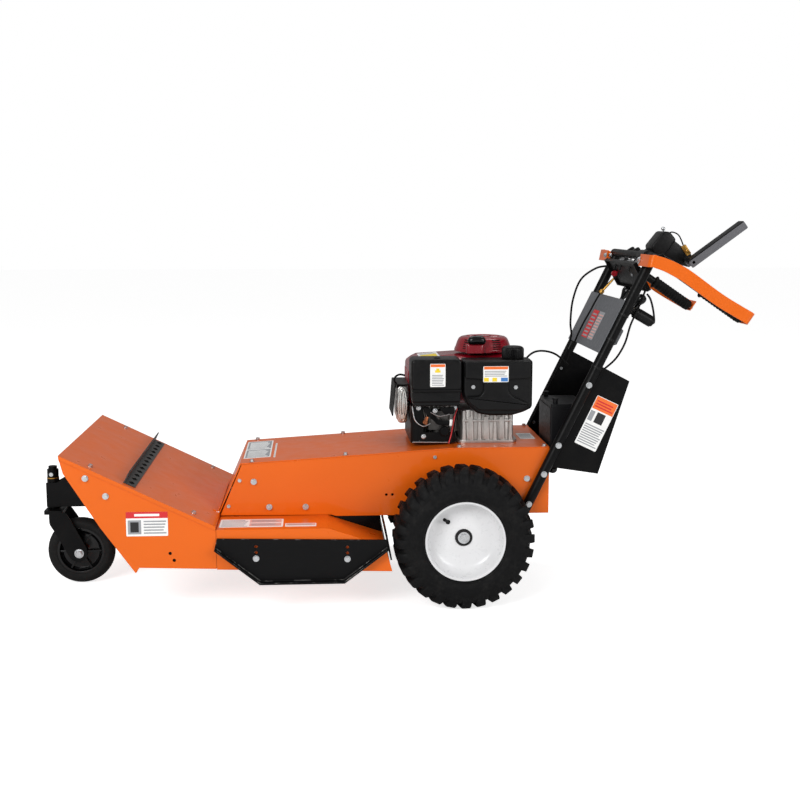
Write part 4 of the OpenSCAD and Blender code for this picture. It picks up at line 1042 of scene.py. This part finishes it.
def dash_trim():
    """Clamps on the cross bar, cable brackets below it and the hour meter's bezel."""
    clamps = Piece("cross_bar_clamps").use(BLACK_PLASTIC)
    for y in (-84, 30, 96):
        place = pointing((BAR_FRONT.x, y, BAR_FRONT.z), (0, 1, 0))
        clamps.prism(soft(rect(-7, 12, 7, 34), 4, 3), -7, 7, place @ turn(60, "Z"), (1.5, 1.5), 3)
        clamps.sweep(bent([(744, y, 986), (730, y, 972), (722, y, 950)], 6), 3, 10)
    clamps.place("black_plastic", sharp=34)
    brackets = Piece("cable_brackets").use(ZINC)
    for y in (-96, -30, 70):
        place = DASH @ at(-34, y, 0.2)
        brackets.prism(soft(rect(-12, -9, 12, 9), 3, 3), 0, 2.4, place)
        brackets.prism(soft(rect(-9, 0, 9, 26), 3, 3), -12, -9.6, place @ turn(90, "X"))
        brackets.revolve(solid((5, 2.4), (5, 6), (4, 7)), place, steps=6)
    brackets.place("zinc", sharp=30)
    meter = Piece("hour_meter_bezel").use(GREY_PLASTIC)
    meter.revolve([(17, 11.9), (21.5, 11.9), (21.5, 14), (19.5, 15.4), (17, 14)], DASH @ at(-4, 62, 0),
        closed=True)
    meter.place("grey_plastic", sharp=34)


# ---- Labels: plain plates with plain bars, no lettering ----


def label(name, place, width, height, marks, base=None):
    """A thin printed plate; each mark is (x0, y0, x1, y1, finish) in shares of its width and height."""
    plate = Piece(name).use(base or INK["white"])
    plate.prism(soft(rect(0, 0, width, height), min(3, height / 4), 3), 0, 0.4, place)
    for layer, (x0, y0, x1, y1, material) in enumerate(marks):
        plate.use(material)
        top = 0.5 + 0.05 * layer
        plate.prism(rect(x0 * width, y0 * height, x1 * width, y1 * height), 0.3, top, place)
    plate.place("white_paint")


def bars(x0, y0, x1, y1, count, material=None, share=0.45, ragged=0.12):
    """Plain lines that stand for print."""
    out = []
    step = (y1 - y0) / count
    for k in range(count):
        cut = ragged * (x1 - x0) * ((k * 7) % 4) / 3
        out.append((x0, y0 + k * step, x1 - cut, y0 + (k + share) * step, material or INK["grey"]))
    return out


def hood_labels():
    marks = [(0, 0.74, 1, 1, INK["red"]), (0.2, 0.82, 0.8, 0.92, INK["white"]),
        (0.04, 0.08, 0.36, 0.66, INK["grey"]), (0.1, 0.16, 0.3, 0.58, INK["black"])]
    marks += bars(0.42, 0.1, 0.96, 0.7, 5)
    label("hood_side_label_left", outwards(-743, 232, -DECK_HALF - 0.1), 115, 69, marks)
    label("hood_side_label_right", outwards(-628, 232, DECK_HALF + 0.1, 1) @ turn(180, "Z"), 115, 69, marks)


def deck_labels():
    """Flat strips on top of the deck, beside the frame on both sides."""
    long_marks = bars(0.03, 0.08, 0.44, 0.94, 6) + [(0.47, 0.1, 0.97, 0.46, INK["rose"]),
        (0.47, 0.54, 0.97, 0.9, INK["rose"])]
    long_marks += bars(0.5, 0.16, 0.92, 0.44, 3) + bars(0.5, 0.6, 0.92, 0.88, 3)
    short_marks = [(0.03, 0.3, 0.97, 0.9, INK["rose"])] + bars(0.08, 0.36, 0.92, 0.86, 3)
    for side, name in ((-1, "left"), (1, "right")):
        for x0, x1, near, number, marks in ((-490, -310, 241, 1, long_marks),
                (-304, -216, 296, 2, short_marks)):
            far = 333
            place = at(x0, min(side * near, side * far), DECK_TOP + 0.1)
            label(f"deck_strip_{name}_{number}", place, x1 - x0, far - near, marks)


def cover_label():
    """The large label across the front of the belt cover, with a thin line behind it."""
    slope = math.degrees(math.atan(COVER_RISE))
    place = at(-430, -126, cover_z(-430) + 0.1) @ turn(-slope, "Y")
    marks = [(0.05, 0.03, 0.95, 0.47, INK["grey"]), (0.05, 0.52, 0.95, 0.97, INK["grey"])]
    marks += bars(0.12, 0.06, 0.88, 0.45, 6, INK["white"]) + bars(0.12, 0.55, 0.88, 0.95, 6, INK["white"])
    label("belt_cover_label", place, 80, 276, marks)
    label("belt_cover_line", at(-341, -138, cover_z(-341) + 0.1) @ turn(-slope, "Y"), 5, 234, [])


def engine_labels():
    marks = [(0.03, 0.86, 0.97, 0.98, INK["orange"]), (0.32, 0.62, 0.68, 0.72, INK["yellow"]),
             (0.4, 0.72, 0.6, 0.8, INK["yellow"])]
    marks += bars(0.12, 0.06, 0.9, 0.56, 7)
    label("air_cleaner_label", outwards(120, 619, -176.1), 45, 68, marks)
    marks = [(0.03, 0.8, 0.97, 0.98, INK["orange"]), (0.03, 0.04, 0.22, 0.28, INK["yellow"]),
             (0.36, 0.04, 0.54, 0.28, INK["yellow"]), (0.7, 0.04, 0.97, 0.28, INK["blue"])]
    marks += bars(0.06, 0.36, 0.94, 0.76, 4)
    label("fuel_tank_label", outwards(276, 632, -178.1), 75, 47, marks)
    place = at(100, -60, 690.4) @ turn(-6.3, "Y")
    label("fan_cover_label", place, 60, 130, [(0.1, 0.05, 0.9, 0.6, INK["yellow"])] + bars(0.1, 0.65, 0.9,
        0.95, 3))
    label("engine_plate_label", at(408, -60, 441.1), 46, 100, bars(0.1, 0.1, 0.9, 0.9, 5))


def handle_labels():
    """The labels on the control cover and on the left side of the battery tray."""
    lean = math.degrees(TUBE_LEAN)
    foot = on_tube(535, -18.3)
    place = Matrix.Translation((foot.x, 66, foot.z)) @ turn(lean, "Y") @ turn(-90, "Y") @ turn(-90, "Z")
    marks = [(0, 0, 0.48, 1, INK["red"]), (0.56, 0, 1, 1, INK["grey"])]
    marks += bars(0.06, 0.05, 0.44, 0.95, 7, INK["grey"]) + bars(0.6, 0.05, 0.96, 0.95, 9, INK["rose"])
    label("control_cover_label", place, 150, 92, marks, base=GREY_PAINT)
    place = outwards(545.5, 454, -198.1) @ turn(-25.5, "Z")
    marks = [(0.02, 0.74, 0.98, 0.99, INK["orange"]), (0.34, 0.5, 0.72, 0.71, INK["black"]),
             (0.04, 0.5, 0.24, 0.7, INK["grey"])]
    marks += bars(0.06, 0.05, 0.94, 0.46, 9) + bars(0.1, 0.79, 0.9, 0.95, 3, INK["red"])
    label("battery_tray_label", place, 70, 155, marks)


# ---- Stage ----


FLOOR_HALF = 24.0  # metres
FLOOR_GLOW = 0.72
ROOM_LIGHT, ROOM_SEEN = 0.3, 1.0  # the background's strength on the object, and to the camera


def seen_only(tree):
    """One for rays that come straight from the camera and nought for all others."""
    return tree.nodes.new("ShaderNodeLightPath").outputs["Is Camera Ray"]


def stage():
    """A large pale floor that glows a little to the eye, so that it runs into the white background."""
    bm = bmesh.new()
    bmesh.ops.create_grid(bm, x_segments=12, y_segments=12, size=FLOOR_HALF)
    mesh = bpy.data.meshes.new("studio_floor")
    bm.to_mesh(mesh)
    bm.free()
    floor = bpy.data.objects.new("studio_floor", mesh)
    bpy.context.scene.collection.objects.link(floor)
    material = finish("studio_white", (0.86, 0.86, 0.86, 1.0), 0.7, cloud=(2.0, 0.005), grain=(60.0, 0.01))
    tree = material.node_tree
    shader = tree.nodes["Principled BSDF"]
    shader.inputs["Emission Color"].default_value = (1, 1, 1, 1)
    glow = tree.nodes.new("ShaderNodeMath")
    glow.operation = "MULTIPLY"
    glow.inputs[1].default_value = FLOOR_GLOW
    tree.links.new(seen_only(tree), glow.inputs[0])
    tree.links.new(glow.outputs["Value"], shader.inputs["Emission Strength"])
    mesh.materials.append(material)


def area_light(name, place, target, size, power, colour=(1, 1, 1)):
    data = bpy.data.lights.new(name, "AREA")
    data.shape, data.size, data.size_y, data.energy, data.color = "RECTANGLE", size[0], size[1], power, colour
    light = bpy.data.objects.new(name, data)
    bpy.context.scene.collection.objects.link(light)
    light.location = place
    light.rotation_euler = (Vector(target) - Vector(place)).to_track_quat("-Z", "Y").to_euler()


def light_scene():
    scene = bpy.context.scene
    world = bpy.data.worlds.new("studio")
    scene.world = world
    world.use_nodes = True
    tree = world.node_tree
    mix = tree.nodes.new("ShaderNodeMix")
    mix.data_type = "FLOAT"
    mix.inputs["A"].default_value, mix.inputs["B"].default_value = ROOM_LIGHT, ROOM_SEEN
    tree.links.new(seen_only(tree), mix.inputs["Factor"])
    background = tree.nodes["Background"]
    background.inputs["Color"].default_value = (1, 1, 1, 1)
    tree.links.new(mix.outputs["Result"], background.inputs["Strength"])
    area_light("key", (-2.6, -4.2, 2.8), (0, 0, 0.4), (2.4, 2.0), 168)
    area_light("fill", (3.4, -3.6, 2.0), (0.2, 0, 0.4), (2.4, 2.0), 80)
    area_light("top", (0.2, 0.8, 3.6), (0, 0, 0.3), (4.0, 0.8), 40)
    scene.view_settings.view_transform = "Standard"


def camera():
    data = bpy.data.cameras.new("camera")
    data.lens, data.sensor_width = 56.316, 36
    data.clip_start, data.clip_end = 0.1, 60
    cam = bpy.data.objects.new("camera", data)
    bpy.context.scene.collection.objects.link(cam)
    cam.location = (-0.2049, -3.7933, 1.1086)
    cam.rotation_euler = (math.pi / 2 - 0.1444, 0.0, -0.0653)
    bpy.context.scene.camera = cam


dress_cad_nodes()
body_trim()
skid_welds()
for wheel_name, wheel_side in (("left", -1), ("right", 1)):
    drive_tyre(wheel_name, wheel_side)
    drive_rim(wheel_name, wheel_side)
caster_wheel()
caster_trim()
fuel_tank()
fuel_cap()
air_cleaner()
fan_shroud()
recoil()
crankcase()
muffler()
engine_trim()
handlebar()
hand_grips()
hand_guards()
presence_paddle()
control_housing()
knob_lever("blade_lever", 0, (740, 886))
knob_lever("brake_lever", -120, (754, 869))
bypass_rod()
vapour_canister()
control_cables()
dash_trim()
hood_labels()
deck_labels()
cover_label()
engine_labels()
handle_labels()
stage()
light_scene()
camera()
